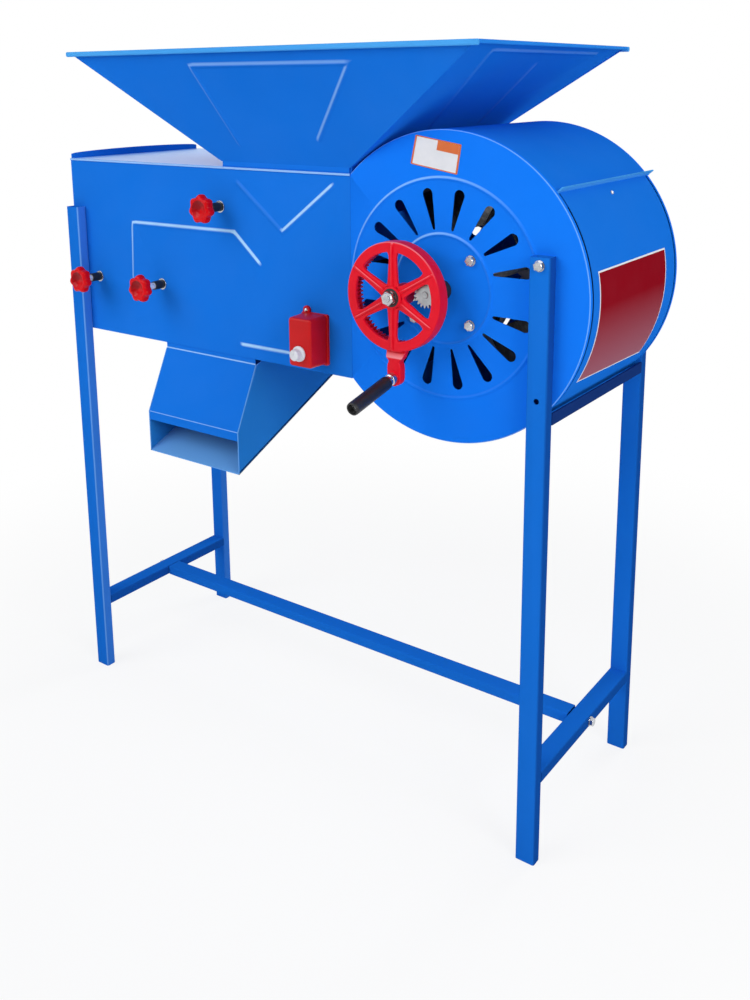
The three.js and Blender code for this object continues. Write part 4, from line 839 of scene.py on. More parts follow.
def shell(name, node, start, end, has_lip=False):
    """A rolled sheet of the drum between its two side covers."""
    lowered = DOOR["lowered"] if has_lip else 0
    skin = arc(DRUM - SHEET / 2 - lowered, start, end, max(int(abs(end - start)), 20))
    if has_lip:
        inset = 14.4
        thin_or_highlight = bent(arc(DRUM - FILM / 2 - lowered, start, end, len(skin) - 1), FILM)
        strips = [plate(thin_or_highlight, inset - 1.8, inset), plate(thin_or_highlight, WIDTH - inset, WIDTH - inset + 1.8)]
        tip, base = math.radians(end), Vector(skin[-1])
        out = Vector((math.cos(tip), math.sin(tip)))
        corner = base + Vector((-out.y, out.x)) * DOOR["lip_at"]
        top = tuple(corner + out * DOOR["lip"])
        skin = skin[:-1] + [tuple(corner), top]
        skin = rounded(skin, [0] * (len(skin) - 2) + [DOOR["lip_bend"], 0], 6, closed=False)
        edge = rounded([tuple(base), tuple(corner), top], [0, DOOR["lip_bend"], 0], 6, closed=False)
        bar = plate(bent(edge, DOOR["edge_sheet"]), *DOOR["edge_y"])
        # The lip's edge takes the paler blue of a painted highlight
        piece("door_lip_edge", bar, "frame", "blue_paint", HIGHLIT_EDGE_BLUE, sharp=35)
    else:
        inset = 7.3
        past = LAP["past_edge"] if end > start else -LAP["past_edge"]
        lap = arc(DRUM - LAP["under"], start - past, start + past, 12)
        strips = [plate(bent(lap, SHEET), LAP["from_side"], WIDTH - LAP["from_side"])]
    shape = plate(bent(skin, SHEET), inset, WIDTH - inset)
    piece(name, joined(shape, *strips), "frame", "blue_paint", BLUE, [node], sharp=35)


shell("upper_drum_sheet", "drum_shell_upper", 41.1, SEAM_ANGLE)
shell("lower_drum_sheet", "drum_shell_lower", -62.1, -SEAM_ANGLE)
shell("drum_door_sheet", "drum_door", -62, 40.5, has_lip=True)


def door_plate():
    """A bare plate on the door, with a pale border, that leans a little."""
    low, high, front, back = -29.8, 11.2, 33, 288
    lean, border = 3.2, 2.6
    for name, inset, radius, slot, finish in (
            ("door_plate_border", 0, 239.75, "white_plastic", PLATE_WHITE),
            ("door_plate_field", border, 239.98, "red_plastic", PLATE_RED)):
        turn = math.degrees(inset / DRUM)
        line = bent(arc(radius - FILM / 2, low + turn, high - turn, 44), FILM)
        verts, faces = plate(line, front + inset, back - inset)
        leaning = []
        for x, y, z in verts:
            angle = math.degrees(math.atan2(z, x))
            share = (high - angle) / (high - low)
            angle = math.radians(angle - share * (y - front) / (back - front) * lean)
            reach = math.hypot(x, z)
            leaning.append((reach * math.cos(angle), y, reach * math.sin(angle)))
        piece(name, (leaning, faces), "frame", slot, finish)


def between(a, b, share):
    return tuple(Vector(a).lerp(Vector(b), share))


def notice_plate():
    """A bare bordered plate on the fan cover, with a band at its upper right."""
    corners = [(-57.8, 187.3), (23.8, 174.3), (30.9, 218.1), (-48.6, 230.6)]
    field_share, band_left, band_low = 0.925, 0.5, 0.66
    centre = sum((Vector(c) for c in corners), Vector((0, 0))) / 4
    inner = [tuple(centre + (Vector(c) - centre) * field_share) for c in corners]
    low, high = between(inner[0], inner[1], band_left), between(inner[3], inner[2], band_left)
    band = [between(low, high, band_low), between(inner[1], inner[2], band_low), inner[2], high]
    border = plate(rounded(corners, 1.5, 3), -0.5, 0.05)
    field = plate(rounded(inner, 0.6, 2), -0.7, -0.45)
    piece("notice_plate_border", border, "frame", "red_plastic", PLATE_ORANGE)
    piece("notice_plate_field", field, "frame", "white_plastic", PLATE_WHITE)
    piece("notice_plate_band", plate(band, -0.9, -0.65), "frame", "red_plastic", PLATE_ORANGE)


door_plate()
notice_plate()


# Duct and hopper
def spread(shares):
    return [(MOUTH + a * DUCT_LENGTH, b * HALF) for a, b in shares]


DUCT_RIDGES = [spread(s) for s in (
    [(0.242, -0.35), (0.25, 0.311), (0.627, 0.32), (0.715, 0)],
    [(0.637, 0.868), (0.79, 0.374), (0.955, 0.89)],
    [(0.634, -0.874), (0.846, -0.874)])]
RODS = {"upper": (SEAM - 283.6, 97.5), "middle": (SEAM - 438.6, -56), "tail": (SEAM - 613.6, -59)}
ROD_HOLE = 6.3
ROD_SEAT = 11
LEFT_BOLTS = [(MOUTH + 19, 40), (MOUTH + 19, -110)]
SIDE_HEM = {"back": -1.6, "front": 0.75, "low": 4, "round": 0.9}
INSIDE = SHEET + GAP


def duct_side(name, node, matrix):
    """A side of the duct: a ridged sheet with a rolled hem along its top."""
    holes = [circle(ROD_HOLE, 24, *place) for place in RODS.values()]
    holes += [circle(BOLT_HOLE, 20, *place) for place in LEFT_BOLTS]
    flat, height = pressed(rectangle(MOUTH, SEAM - GAP, -HALF, HALF, 0.8, 2), holes, lines=DUCT_RIDGES)

    def lift(u, v):
        is_seat = any(math.hypot(u - x, v - z) < ROD_SEAT for x, z in RODS.values())
        return 0.0 if is_seat else height(u, v)

    def is_on_hem(spot):
        return spot.y > HALF - 3.4 and spot.z > 0.3
    back, front, low = SIDE_HEM["back"], SIDE_HEM["front"], HALF - SIDE_HEM["low"]
    hem = rounded([(back, low), (front, low), (front, HALF), (back, HALF)], SIDE_HEM["round"], 4)
    bar = across(slab(filled(hem), lambda u, v: (u, MOUTH, v), lambda u, v: (u, SEAM - GAP, v)))
    shape = joined(sheet_on(flat, lift, matrix), moved(bar, matrix @ FRONT.transposed()))
    made = piece(name, shape, "frame", "blue_paint", BLUE, [node])
    start, bend = DUCT_RIDGES[1][:2]
    faint = [start, between(start, bend, 0.94)]
    # Painted highlight on the ridges' flanks that face up and to the left, and along the rolled hem
    paint_ridge_highlight(made, matrix, strength=1.7, faint=faint, plain=DUCT_RIDGES[0][2:])
    highlight_where(made, matrix, is_on_hem, 0.68)


duct_side("duct_front_panel", "duct_front_sheet", FRONT)
duct_side("duct_back_panel", "duct_back_sheet", BACK)


def duct_top():
    """The duct's top sheet, with its mouth turned up into a crowned lip."""
    thickness_or_shade, least, crown, corner, steps = 3, 8.5, 5, 1.4, 40
    low, end = HALF - SHEET, THROAT - GAP
    start = MOUTH + SHEET
    top = plate([(start, low), (end, low), (end, HALF), (start, HALF)], INSIDE, WIDTH - INSIDE)
    rows = []
    for i in range(steps + 1):
        share = i / steps
        y = INSIDE + (WIDTH - 2 * INSIDE) * share
        inner_share = min(max(share, NOTHING), 1 - NOTHING)
        crest = HALF + least + crown * math.sqrt(math.sin(math.pi * inner_share))
        line = [(MOUTH, low), (MOUTH + thickness_or_shade, low), (MOUTH + thickness_or_shade, crest), (MOUTH, crest)]
        rows.append([(x, y, z) for x, z in rounded(line, [corner, 0, corner, corner], 3)])
    piece("duct_mouth_lip", loft(rows), "frame", "blue_paint", BLUE)
    piece("duct_top_panel", top, "frame", "blue_paint", TOP_REFLECTION_BLUE, ["duct_top_sheet"])


duct_top()

# The hopper's walls lean out by these lengths over their rise; the right one
# clears the drum
LEAN = {"left": 278, "right": 274, "side": 85}
RISE = 187
CLEAR = 2.9
FOOT_X = (THROAT, SEAM - 2 * GAP)
FOOT_Y = (2, WIDTH - 2)
FOOT_Z = (DRUM + CLEAR) * math.hypot(LEAN["right"], RISE) / LEAN["right"] + FOOT_X[1] * RISE / LEAN["right"]
RIM_X = (FOOT_X[0] - LEAN["left"], FOOT_X[1] + LEAN["right"])
RIM_Y = (FOOT_Y[0] - LEAN["side"], FOOT_Y[1] + LEAN["side"])
RIM_Z = FOOT_Z + RISE
LONG_RIDGES = [[(0.407, 0.145), (0.344, 0.852), (0.735, 0.85), (0.61, 0.209)]]
END_RIDGES = [[(0.384, 0.21), (0.154, 0.93), (0.853, 0.93)], [(0.506, 0.86), (0.643, 0.33)]]
WALL = {"side_inset": 0.4, "under_rim": 3, "marked_from": 4}
SKIRT = {"z": (HALF - 8, FOOT_Z + 0.6), "from_end": 3}


def span(values, inset):
    return min(values) + inset, max(values) - inset


def hopper_wall(name, node, foot, rim, ridges, strength):
    """A leaning wall between two level edges, each given from left to right as
    seen from outside, with an upright skirt inside the duct."""
    (a, b), (c, d) = [tuple(Vector(p) for p in edge) for edge in (foot, rim)]
    along = (d - c).normalized()
    slope = c - a
    up = (slope - along * slope.dot(along)).normalized()
    out = along.cross(up)
    basis = Matrix((along, up, out)).transposed().to_4x4()
    basis.translation = c - up * (c - a).dot(up)
    length, rise = (d - c).length, (c - a).dot(up)
    lines = [[(u * length, v * rise) for u, v in line] for line in ridges]
    corners = []
    drop = WALL["under_rim"]
    for corner, way, under in ((a, 1, 0), (b, -1, 0), (d, -1, drop), (c, 1, drop)):
        local = basis.inverted() @ corner
        corners.append((local.x + way * WALL["side_inset"], local.y - under))
    flat_sheet, height = pressed(corners, lines=lines)

    low = Vector((min(a.x, b.x), min(a.y, b.y), 0))
    high = Vector((max(a.x, b.x), max(a.y, b.y), 0))
    inward = -Vector((out.x, out.y, 0)).normalized() * SHEET
    box = [low, high, low + inward, high + inward]
    runs_x = abs(inward.y) > 1
    x = span([p.x for p in box], SKIRT["from_end"] if runs_x else 0)
    y = span([p.y for p in box], 0 if runs_x else SKIRT["from_end"])
    z = SKIRT["z"]
    skirt = plate([(x[0], z[0]), (x[1], z[0]), (x[1], z[1]), (x[0], z[1])], *y)
    shape = joined(sheet_on(flat_sheet, height, basis), skirt)
    made = piece(name, shape, "frame", "blue_paint", BLUE, [node])
    # Painted highlight on the wall's ridges
    paint_ridge_highlight(made, basis, WALL["marked_from"], strength)


def level_corners(x, y, z):
    return [(x[0], y[0], z), (x[1], y[0], z), (x[1], y[1], z), (x[0], y[1], z)]


feet, rims = level_corners(FOOT_X, FOOT_Y, FOOT_Z), level_corners(RIM_X, RIM_Y, RIM_Z)
for side, i, ridges, strength in (("front", 0, LONG_RIDGES, 0.66), ("back", 2, LONG_RIDGES, 0.66),
                                  ("right", 1, END_RIDGES, 0.26), ("left", 3, END_RIDGES, 0.26)):
    j = (i + 1) % 4
    hopper_wall(f"hopper_{side}_panel", f"hopper_{side}_wall", (feet[i], feet[j]), (rims[i], rims[j]),
                ridges, strength)

HEM = {"out": 5, "in": 1.5, "tall": 8.5, "round": 2.4}
END_HEM = {"out": 5, "in": 1.5, "tall": 5.8, "round": 2.2, "from_corner": 3.2}
ROUND_END = ((0, 0.72), (0.5, 0.9), (1.4, 1))


def rim_bar(name, section, ends, runs_x, finish=HIGHLIT_EDGE_BLUE):
    """One rolled hem of the hopper's rim, rounded at its ends."""
    centre = sum((Vector(p) for p in section), Vector((0, 0))) / len(section)
    rows = [(ends[0] + inset, share) for inset, share in ROUND_END]
    rows += [(ends[1] - inset, share) for inset, share in reversed(ROUND_END)]
    rings = []
    for reach, share in rows:
        ring = [centre + (Vector(p) - centre) * share for p in section]
        rings.append([(reach, p.x, p.y) if runs_x else (p.x, reach, p.y) for p in ring])
    piece(name, loft(rings), "frame", "blue_paint", finish)


hem_x = (RIM_X[0] - HEM["out"], RIM_X[1] + HEM["out"])
hem_y = (RIM_Y[0] + END_HEM["from_corner"], RIM_Y[1] - END_HEM["from_corner"])
for side, y in (("front", (RIM_Y[0] - HEM["out"], RIM_Y[0] + HEM["in"])),
                ("back", (RIM_Y[1] - HEM["in"], RIM_Y[1] + HEM["out"]))):
    rim_bar(f"hopper_{side}_hem", rectangle(*y, RIM_Z - HEM["tall"], RIM_Z, HEM["round"], 5), hem_x, True)
for side, x in (("left", (RIM_X[0] - END_HEM["out"], RIM_X[0] + END_HEM["in"])),
                ("right", (RIM_X[1] - END_HEM["in"], RIM_X[1] + END_HEM["out"]))):
    rim_bar(f"hopper_{side}_hem", rectangle(*x, RIM_Z - END_HEM["tall"], RIM_Z, END_HEM["round"], 5), hem_y,
            False, FAINT_HIGHLIT_HEM_BLUE)


# Tube frame
LEFT_LEG = (MOUTH + 2.5, MOUTH + 2.5 + TUBE["width"])
LEG_FACE = GAP + TUBE["depth"]
RAIL_Z = (FLOOR + 136, FLOOR + 136 + TUBE["depth"])
RAIL_MIDDLE = WIDTH / 2 + 10
RAIL_Y = (RAIL_MIDDLE - TUBE["width"] / 2, RAIL_MIDDLE + TUBE["width"] / 2)
FOOT_CAP = 4
LEG_TOPS = {"left": 75, "right": 68}
RAIL_GAP = 2
DRILL_PAST = 5
# Painted light on the tubes: shade low on a leg, a highlight on a side and more at its corner
TUBE_LIGHT = {"low": 0.3, "low_rise": 700, "thin_or_highlight": 0.12, "corner_highlight": 0.45, "corner_from": 0.1,
        "corner_to": 0.95}


def tube_ends(u, v):
    """The outer and the inner outline of a tube with eased corners."""
    outer = rectangle(*u, *v, TUBE["corner"], 5)
    wall = TUBE["wall"]
    inner = rectangle(u[0] + wall, u[1] - wall, v[0] + wall, v[1] - wall, TUBE["corner"] - wall + 0.4, 5)
    return outer, inner


def drilled(name, shape, drills):
    """A mesh in metres with round holes: each drill is (radius, start, end)."""
    verts, faces = shape
    made = loose(name, [TO_FRAME @ Vector(v) for v in verts], faces)
    tidy = bmesh.new()
    tidy.from_mesh(made.data)
    bmesh.ops.recalc_face_normals(tidy, faces=tidy.faces)
    tidy.to_mesh(made.data)
    tidy.free()
    cutters = []
    for radius, start, end in drills:
        start, end = TO_FRAME @ Vector(start), TO_FRAME @ Vector(end)
        turn = (end - start).to_track_quat("Z", "Y").to_matrix().to_4x4()
        place = Matrix.Translation((start + end) / 2) @ turn
        cutter = loose("drill", [], [])
        tool = bmesh.new()
        bmesh.ops.create_cone(tool, cap_ends=True, segments=24, radius1=radius * MM, radius2=radius * MM,
                              depth=(end - start).length, matrix=place)
        tool.to_mesh(cutter.data)
        tool.free()
        cut = made.modifiers.new("hole", "BOOLEAN")
        cut.operation, cut.object, cut.solver = "DIFFERENCE", cutter, "EXACT"
        cutters.append(cutter)
    mesh = settled(made)
    for cutter in cutters:
        bpy.data.objects.remove(cutter)
    return mesh


def paint_tube_light(made, right, shades_side=True):
    """Stores, for the paint, a painted shade a little low down on a tube, and either
    more painted shade on its right side or a painted highlight on that side and its front corner."""
    inverse, corner = TO_FRAME.inverted(), TUBE["corner"]
    thickness_or_shade, thin_or_highlight = [], []
    for v in made.data.vertices:
        spot = inverse @ v.co
        side = max(0.0, min(1.0, (spot.x - right + corner) / corner)) if right else 0.0
        low = TUBE_LIGHT["low"] * max(0.0, min(1.0, 1 - (spot.z - FLOOR) / TUBE_LIGHT["low_rise"]))
        thickness_or_shade.append(max(side if shades_side else 0.0, low))
        is_corner = TUBE_LIGHT["corner_from"] < side < TUBE_LIGHT["corner_to"] and spot.y < WIDTH / 2
        highlight = TUBE_LIGHT["corner_highlight"] if is_corner else TUBE_LIGHT["thin_or_highlight"] * side
        thin_or_highlight.append(0.0 if shades_side else highlight)
    made.data.attributes.new("painted_shade", "FLOAT", "POINT").data.foreach_set("value", thickness_or_shade)
    made.data.attributes.new("painted_highlight", "FLOAT", "POINT").data.foreach_set("value", thin_or_highlight)
    return made


def leg(name, node, x, y, top, drills=()):
    """An upright tube with a closed foot."""
    outer, inner = tube_ends(x, y)
    walls = upright(plate(outer, FLOOR + FOOT_CAP, top, [inner]))
    foot = upright(plate(outer, FLOOR, FLOOR + FOOT_CAP))
    mesh = drilled(name, walls, drills)
    base = bpy.data.meshes.new("foot")
    base.from_pydata([TO_FRAME @ Vector(v) for v in foot[0]], [], foot[1])
    both = bmesh.new()
    both.from_mesh(mesh)
    both.from_mesh(base)
    both.to_mesh(mesh)
    both.free()
    made = dress(name, mesh, "frame", "blue_paint", TUBE_BLUE, [node], sharp=28)
    return paint_tube_light(made, x[1], shades_side=x[0] > 0)


SPARE_HOLE = {"radius": 4.5, "z": -141, "outside": 5, "inside": 6}
for side, y, outside, into in (("front", (-LEG_FACE, -GAP), -LEG_FACE, 1),
                               ("back", (WIDTH + GAP, WIDTH + LEG_FACE), WIDTH + LEG_FACE, -1)):
    x, z = LEG_BOLT[0], SPARE_HOLE["z"]
    start, end = outside - into * SPARE_HOLE["outside"], outside + into * SPARE_HOLE["inside"]
    hole = [(SPARE_HOLE["radius"], (x, start, z), (x, end, z))]
    leg(f"right_{side}_leg", f"leg_{side}_right", LEG_X, y, LEG_TOPS["right"], hole)
    leg(f"left_{side}_leg", f"leg_{side}_left", LEFT_LEG, y, LEG_TOPS["left"])


def rail(name, node, u, v, run, runs_x, drills=()):
    """A level tube, open at both ends."""
    outer, inner = tube_ends(u, v)
    shape = plate(outer, *run, [inner])
    if runs_x:
        shape = across(shape)
    made = dress(name, drilled(name, shape, drills), "frame", "blue_paint", TUBE_BLUE, [node], sharp=28)
    return paint_tube_light(made, 0 if runs_x else u[1])


middle_y, middle_z = sum(RAIL_Y) / 2, sum(RAIL_Z) / 2
for side, x in (("left", LEFT_LEG), ("right", LEG_X)):
    start, end = x[0] - DRILL_PAST, x[1] + DRILL_PAST
    hole = [(BOLT_HOLE, (start, middle_y, middle_z), (end, middle_y, middle_z))]
    rail(f"{side}_cross_rail", f"low_rail_{side}", x, RAIL_Z, (0, WIDTH), False, hole)
rail("long_floor_rail", "long_rail", RAIL_Y, RAIL_Z, (LEFT_LEG[1] + RAIL_GAP, LEG_X[0] - RAIL_GAP), True)


# Repeated bits
class Pattern:
    """A geometry node tree with named sizes that places one shape many times."""

    def __init__(self, name, sizes):
        self.tree = bpy.data.node_groups.new(name, "GeometryNodeTree")
        sockets = self.tree.interface
        sockets.new_socket("Geometry", in_out="INPUT", socket_type="NodeSocketGeometry")
        for label, value in sizes.items():
            kind = "NodeSocketInt" if isinstance(value, int) else "NodeSocketFloat"
            sockets.new_socket(label, in_out="INPUT", socket_type=kind).default_value = value
        sockets.new_socket("Finish", in_out="INPUT", socket_type="NodeSocketMaterial")
        sockets.new_socket("Geometry", in_out="OUTPUT", socket_type="NodeSocketGeometry")
        self.given = self.tree.nodes.new("NodeGroupInput").outputs
        self.end = self.tree.nodes.new("NodeGroupOutput")

    def node(self, kind, inputs=None, **settings):
        node = self.tree.nodes.new(kind)
        for key, value in settings.items():
            setattr(node, key, value)
        for key, value in (inputs or {}).items():
            for source in value if isinstance(value, list) else [value]:
                if isinstance(source, bpy.types.NodeSocket):
                    self.tree.links.new(source, node.inputs[key])
                else:
                    node.inputs[key].default_value = source
        return node

    def sum(self, operation, a, b):
        node = self.node("ShaderNodeMath", {0: a, 1: b}, operation=operation)
        return node.outputs[0]

    def spot(self, x=0.0, y=0.0, z=0.0):
        return self.node("ShaderNodeCombineXYZ", {"X": x, "Y": y, "Z": z}).outputs[0]

    def lifted(self, shape, z):
        place = {"Geometry": shape, "Translation": self.spot(z=z)}
        return self.node("GeometryNodeTransform", place).outputs[0]

    def rod(self, sides, radius, depth, base=0.0):
        """An upright prism or cylinder that stands on a height."""
        rod = self.node("GeometryNodeMeshCylinder", {"Vertices": sides, "Radius": radius, "Depth": depth})
        middle = self.sum("ADD", base, self.sum("MULTIPLY", depth, 0.5))
        return self.lifted(rod.outputs["Mesh"], middle)

    def both(self, *shapes):
        return self.node("GeometryNodeJoinGeometry", {"Geometry": list(shapes)}).outputs[0]

    def faced(self):
        """The turn that points an upright shape the way its seat faces."""
        facing = self.node("GeometryNodeInputNamedAttribute", {"Name": "facing"}, data_type="FLOAT_VECTOR")
        turn = self.node("FunctionNodeAlignRotationToVector", {"Vector": facing.outputs[0]}, axis="Z")
        return turn.outputs[0]

    def finish(self, shape):
        real = self.node("GeometryNodeRealizeInstances", {"Geometry": shape}).outputs[0]
        paint = {"Geometry": real, "Material": self.given["Finish"]}
        painted = self.node("GeometryNodeSetMaterial", paint).outputs[0]
        self.tree.links.new(painted, self.end.inputs[0])
        return self.tree


def grown(name, tree, start, sizes, finish, body, slot, stands_for=(), matrix=None):
    """Runs a pattern on a start mesh and keeps the result as a plain piece."""
    pattern = start.modifiers.new("pattern", "NODES")
    pattern.node_group = tree
    for item in tree.interface.items_tree:
        if item.item_type == "SOCKET" and item.in_out == "INPUT":
            if item.name in sizes:
                pattern[item.identifier] = sizes[item.name]
            elif item.name == "Finish":
                pattern[item.identifier] = finish
    mesh = settled(start)
    if matrix:
        mesh.transform(matrix)
    return dress(name, mesh, body, slot, finish, stands_for, sharp=30)


def seats(name, places):
    """Points that fasteners stand on, each with the way it faces."""
    made = loose(name, [TO_FRAME @ Vector(spot) for spot, _ in places])
    facing = made.data.attributes.new("facing", "FLOAT_VECTOR", "POINT")
    facing.data.foreach_set("vector", [c for _, way in places for c in Vector(way).normalized()])
    return made


# Sizes of fasteners in metres
M8 = {"Flats": 0.013, "Head Height": 0.0055, "Washer Radius": 0.0082, "Washer Thickness": 0.0016}
BARE = {**M8, "Washer Radius": 0.0066, "Washer Thickness": 0.0003}
M6 = {"Flats": 0.010, "Head Height": 0.0040, "Washer Radius": 0.0052, "Washer Thickness": 0.0003}
M12 = {"Flats": 0.019, "Head Height": 0.010, "Washer Radius": 0.0099, "Washer Thickness": 0.0005,
       "Thread Radius": 0.0058, "Thread Reach": 0.0024}
# A head's plain part and its crown as shares of its height, and the crown's two
# radii as shares of its flats
HEAD = {"plain": 0.86, "crown": 0.14, "crown_base": 0.5, "crown_top": 0.44}


def bolt_pattern():
    """Hexagon heads on washers, each turned its own way, with a thread end."""
    p = Pattern("hexagon_bolts", {**M8, "Thread Radius": 0.004, "Thread Reach": 0.0, "Seed": 7})
    g = p.given
    corner = p.sum("MULTIPLY", g["Flats"], 1 / math.sqrt(3))
    head_top = p.sum("ADD", g["Washer Thickness"], g["Head Height"])
    washer = p.rod(28, g["Washer Radius"], p.sum("MULTIPLY", g["Washer Thickness"], 0.9))
    head = p.rod(6, corner, p.sum("MULTIPLY", g["Head Height"], HEAD["plain"]), g["Washer Thickness"])
    crown = p.node("GeometryNodeMeshCone", {
        "Vertices": 28, "Radius Bottom": p.sum("MULTIPLY", g["Flats"], HEAD["crown_base"]),
        "Radius Top": p.sum("MULTIPLY", g["Flats"], HEAD["crown_top"]),
        "Depth": p.sum("MULTIPLY", g["Head Height"], HEAD["crown"])})
    crown_height = p.sum("MULTIPLY", g["Head Height"], HEAD["crown"])
    crown = p.lifted(crown.outputs["Mesh"], p.sum("SUBTRACT", head_top, crown_height))
    reach = p.sum("ADD", g["Thread Reach"], 0.0006)
    thread = p.rod(16, g["Thread Radius"], reach, p.sum("SUBTRACT", head_top, 0.001))
    turn = p.faced()
    spin = p.node("FunctionNodeRandomValue", {"Seed": g["Seed"]}, data_type="FLOAT").outputs[1]
    twist = p.spot(z=p.sum("MULTIPLY", spin, math.pi / 3))
    turned_way = p.node("FunctionNodeRotateRotation", {"Rotation": turn, "Rotate By": twist},
                        rotation_space="LOCAL").outputs[0]
    row = p.node("GeometryNodeInstanceOnPoints", {
        "Points": g["Geometry"], "Instance": p.both(washer, head, crown, thread), "Rotation": turned_way})
    return p.finish(row.outputs[0])


def screw_pattern():
    """Domed pan heads."""
    p = Pattern("pan_screws", {"Head Radius": 0.0034, "Head Height": 0.0024})
    g = p.given
    ball = p.node("GeometryNodeMeshUVSphere", {"Segments": 24, "Rings": 14, "Radius": 1.0}).outputs["Mesh"]
    size = p.spot(g["Head Radius"], g["Head Radius"], g["Head Height"])
    dome = p.node("GeometryNodeTransform", {"Geometry": ball, "Scale": size}).outputs[0]
    place = {"Points": g["Geometry"], "Instance": dome, "Rotation": p.faced()}
    row = p.node("GeometryNodeInstanceOnPoints", place)
    return p.finish(row.outputs[0])


BOLTS = bolt_pattern()
SCREWS = screw_pattern()
out_front, out_back = (0, -1, 0), (0, 1, 0)


def bolts(name, places, sizes):
    return grown(name, BOLTS, seats(name, places), sizes, ZINC, "frame", "zinc_plate")


bolts("bracket_bolt_heads", [((x, -GAP, z), out_front) for x, z in BRACKET], M8)
x, z = LEG_BOLT
bolts("leg_bolt_heads", [((x, -LEG_FACE, z), out_front), ((x, WIDTH + LEG_FACE, z), out_back)], M8)
bolts("leg_bolt_nuts", [((x, INSIDE, z), out_back), ((x, WIDTH - INSIDE, z), out_front)],
      {**BARE, "Thread Reach": 0.002})
bolts("left_leg_bolt_heads", [((x, INSIDE, z), out_back) for x, z in LEFT_BOLTS]
      + [((x, WIDTH - INSIDE, z), out_front) for x, z in LEFT_BOLTS], BARE)
bolts("rail_bolt_heads", [((LEG_X[1] + GAP, middle_y, middle_z), (1, 0, 0)),
                          ((LEFT_LEG[0] - GAP, middle_y, middle_z), (-1, 0, 0))], M8)
SCREW_SEAT = 239.4
turns = [math.radians(a) for a in (36.5, -58)]
ways = [Vector((math.cos(t), 0, math.sin(t))) for t in turns]
door_screws = [(way * SCREW_SEAT + Vector((0, WIDTH / 2, 0)), way) for way in ways]
grown("door_screw_heads", SCREWS, seats("door_screw_heads", door_screws),
      {"Head Radius": 0.0034, "Head Height": 0.0029}, ZINC, "frame", "zinc_plate")


# Gears and crank wheel
CX, CZ = CRANK
TO_CRANK = Matrix.Translation((CX, 0, CZ))
RED_SLOT = "red_paint"


def ring_pattern():
    """Copies of one shape set evenly round a circle, each turned with its place."""
    p = Pattern("ring_of", {"Count": 72, "Ring Radius": 72.0})
    g = p.given
    ring = p.node("GeometryNodeMeshCircle", {"Vertices": g["Count"], "Radius": g["Ring Radius"]})
    index = p.node("GeometryNodeInputIndex").outputs[0]
    turn = p.sum("MULTIPLY", p.sum("DIVIDE", index, g["Count"]), 2 * math.pi)
    row = p.node("GeometryNodeInstanceOnPoints", {"Points": ring.outputs[0], "Instance": g["Geometry"],
                                                  "Rotation": p.spot(z=turn)})
    return p.finish(row.outputs[0])


RING_OF = ring_pattern()


def bar_of(outline, low, high, edge=0.4):
    """A short bar along z with eased ends; its outline is drawn round the origin."""
    rows = [(0.9, low), (1, low + edge), (1, high - edge), (0.9, high)]
    return loft([[(x * s, y * s, z) for x, y in outline] for s, z in rows])


def ringed(name, shape, count, radius, finish, body, slot, matrix):
    sizes = {"Count": count, "Ring Radius": float(radius)}
    return grown(name, RING_OF, loose(name, *shape), sizes, finish, body, slot, matrix=TO_FRAME @ matrix)


def about(degrees):
    return Matrix.Rotation(math.radians(degrees), 4, "Z")


RING_GEAR = {"teeth": 72, "radius": 72, "back": 34.3, "front": 51.2, "turn": 11.0}
PINION = {"teeth": 18, "radius": 18, "back": 38, "front": 49, "turn": 8.5, "bore": 5.3, "root": 15.6}
ring_tooth = rounded([(2.9, -2.45), (2.9, 2.45), (0, 1.55), (-2, 0.85), (-2, -0.85), (0, -1.55)],
                     [0, 0, 0, 0.5, 0.5, 0], 3)
ringed("crank_ring_teeth", bar_of(ring_tooth, RING_GEAR["back"], RING_GEAR["front"]), RING_GEAR["teeth"],
       RING_GEAR["radius"], RED, "crank", RED_SLOT, TO_CRANK @ FRONT @ about(RING_GEAR["turn"]))
pinion_tooth = rounded([(-2.9, -2.3), (0, -1.5), (2, -0.72), (2, 0.72), (0, 1.5), (-2.9, 2.3)],
                       [0, 0, 0.4, 0.4, 0, 0], 3)
back, front = PINION["back"], PINION["front"]
ringed("pinion_teeth", bar_of(pinion_tooth, back, front), PINION["teeth"], PINION["radius"], STEEL, "rotor",
       "plain_steel", FRONT @ about(PINION["turn"]))
bore, root = PINION["bore"], PINION["root"]
pinion_line = rounded([(bore, -back), (root, -back), (root, -front), (bore, -front)], 0.4, 2)
piece("pinion_body", turned(pinion_line, closed=True), "rotor", "plain_steel", STEEL, ["drive_pinion"])

# Planes of the crank wheel
WEB = {"back": -51, "front": -57}
RIB = {"back": -56, "front": -59.4}
ARM = {"back": -40, "front": -54, "pad_at": -126.5, "pad_half": 12.5, "edge": 2.2}


def spoke_at(turn):
    """One ribbed spoke, flared where it meets the hub and the rim."""
    c, s = math.cos(math.radians(turn)), math.sin(math.radians(turn))

    def bar(steps, back, radius):
        rings = []
        for r, half, front in steps:
            ring = rectangle(-half, half, back, front, radius, 3)
            rings.append([(CX + r * c - t * s, y, CZ + r * s + t * c) for t, y in ring])
        return loft(rings)
    even_web = ((6, 12.5), (15, 11.6), (19, 9.9), (24, 8.8), (34, 8.1), (48, 7.2), (58, 6.7), (62, 7.0),
                (65.5, 8.2))
    web = [(r, half, WEB["front"]) for r, half in even_web] + [(68.5, 10.2, -56.9), (72, 12.6, -56.8)]
    even_rib = ((12, 2.5), (18, 2.1), (30, 1.7), (66, 1.6))
    rib = [(r, half, RIB["front"]) for r, half in even_rib]
    rib += [(76, 1.8, -59.3), (80, 1.9, -58.6), (82.6, 2.0, -57.1)]
    return joined(bar(web, WEB["back"], 1.7), bar(rib, RIB["back"], 0.95))


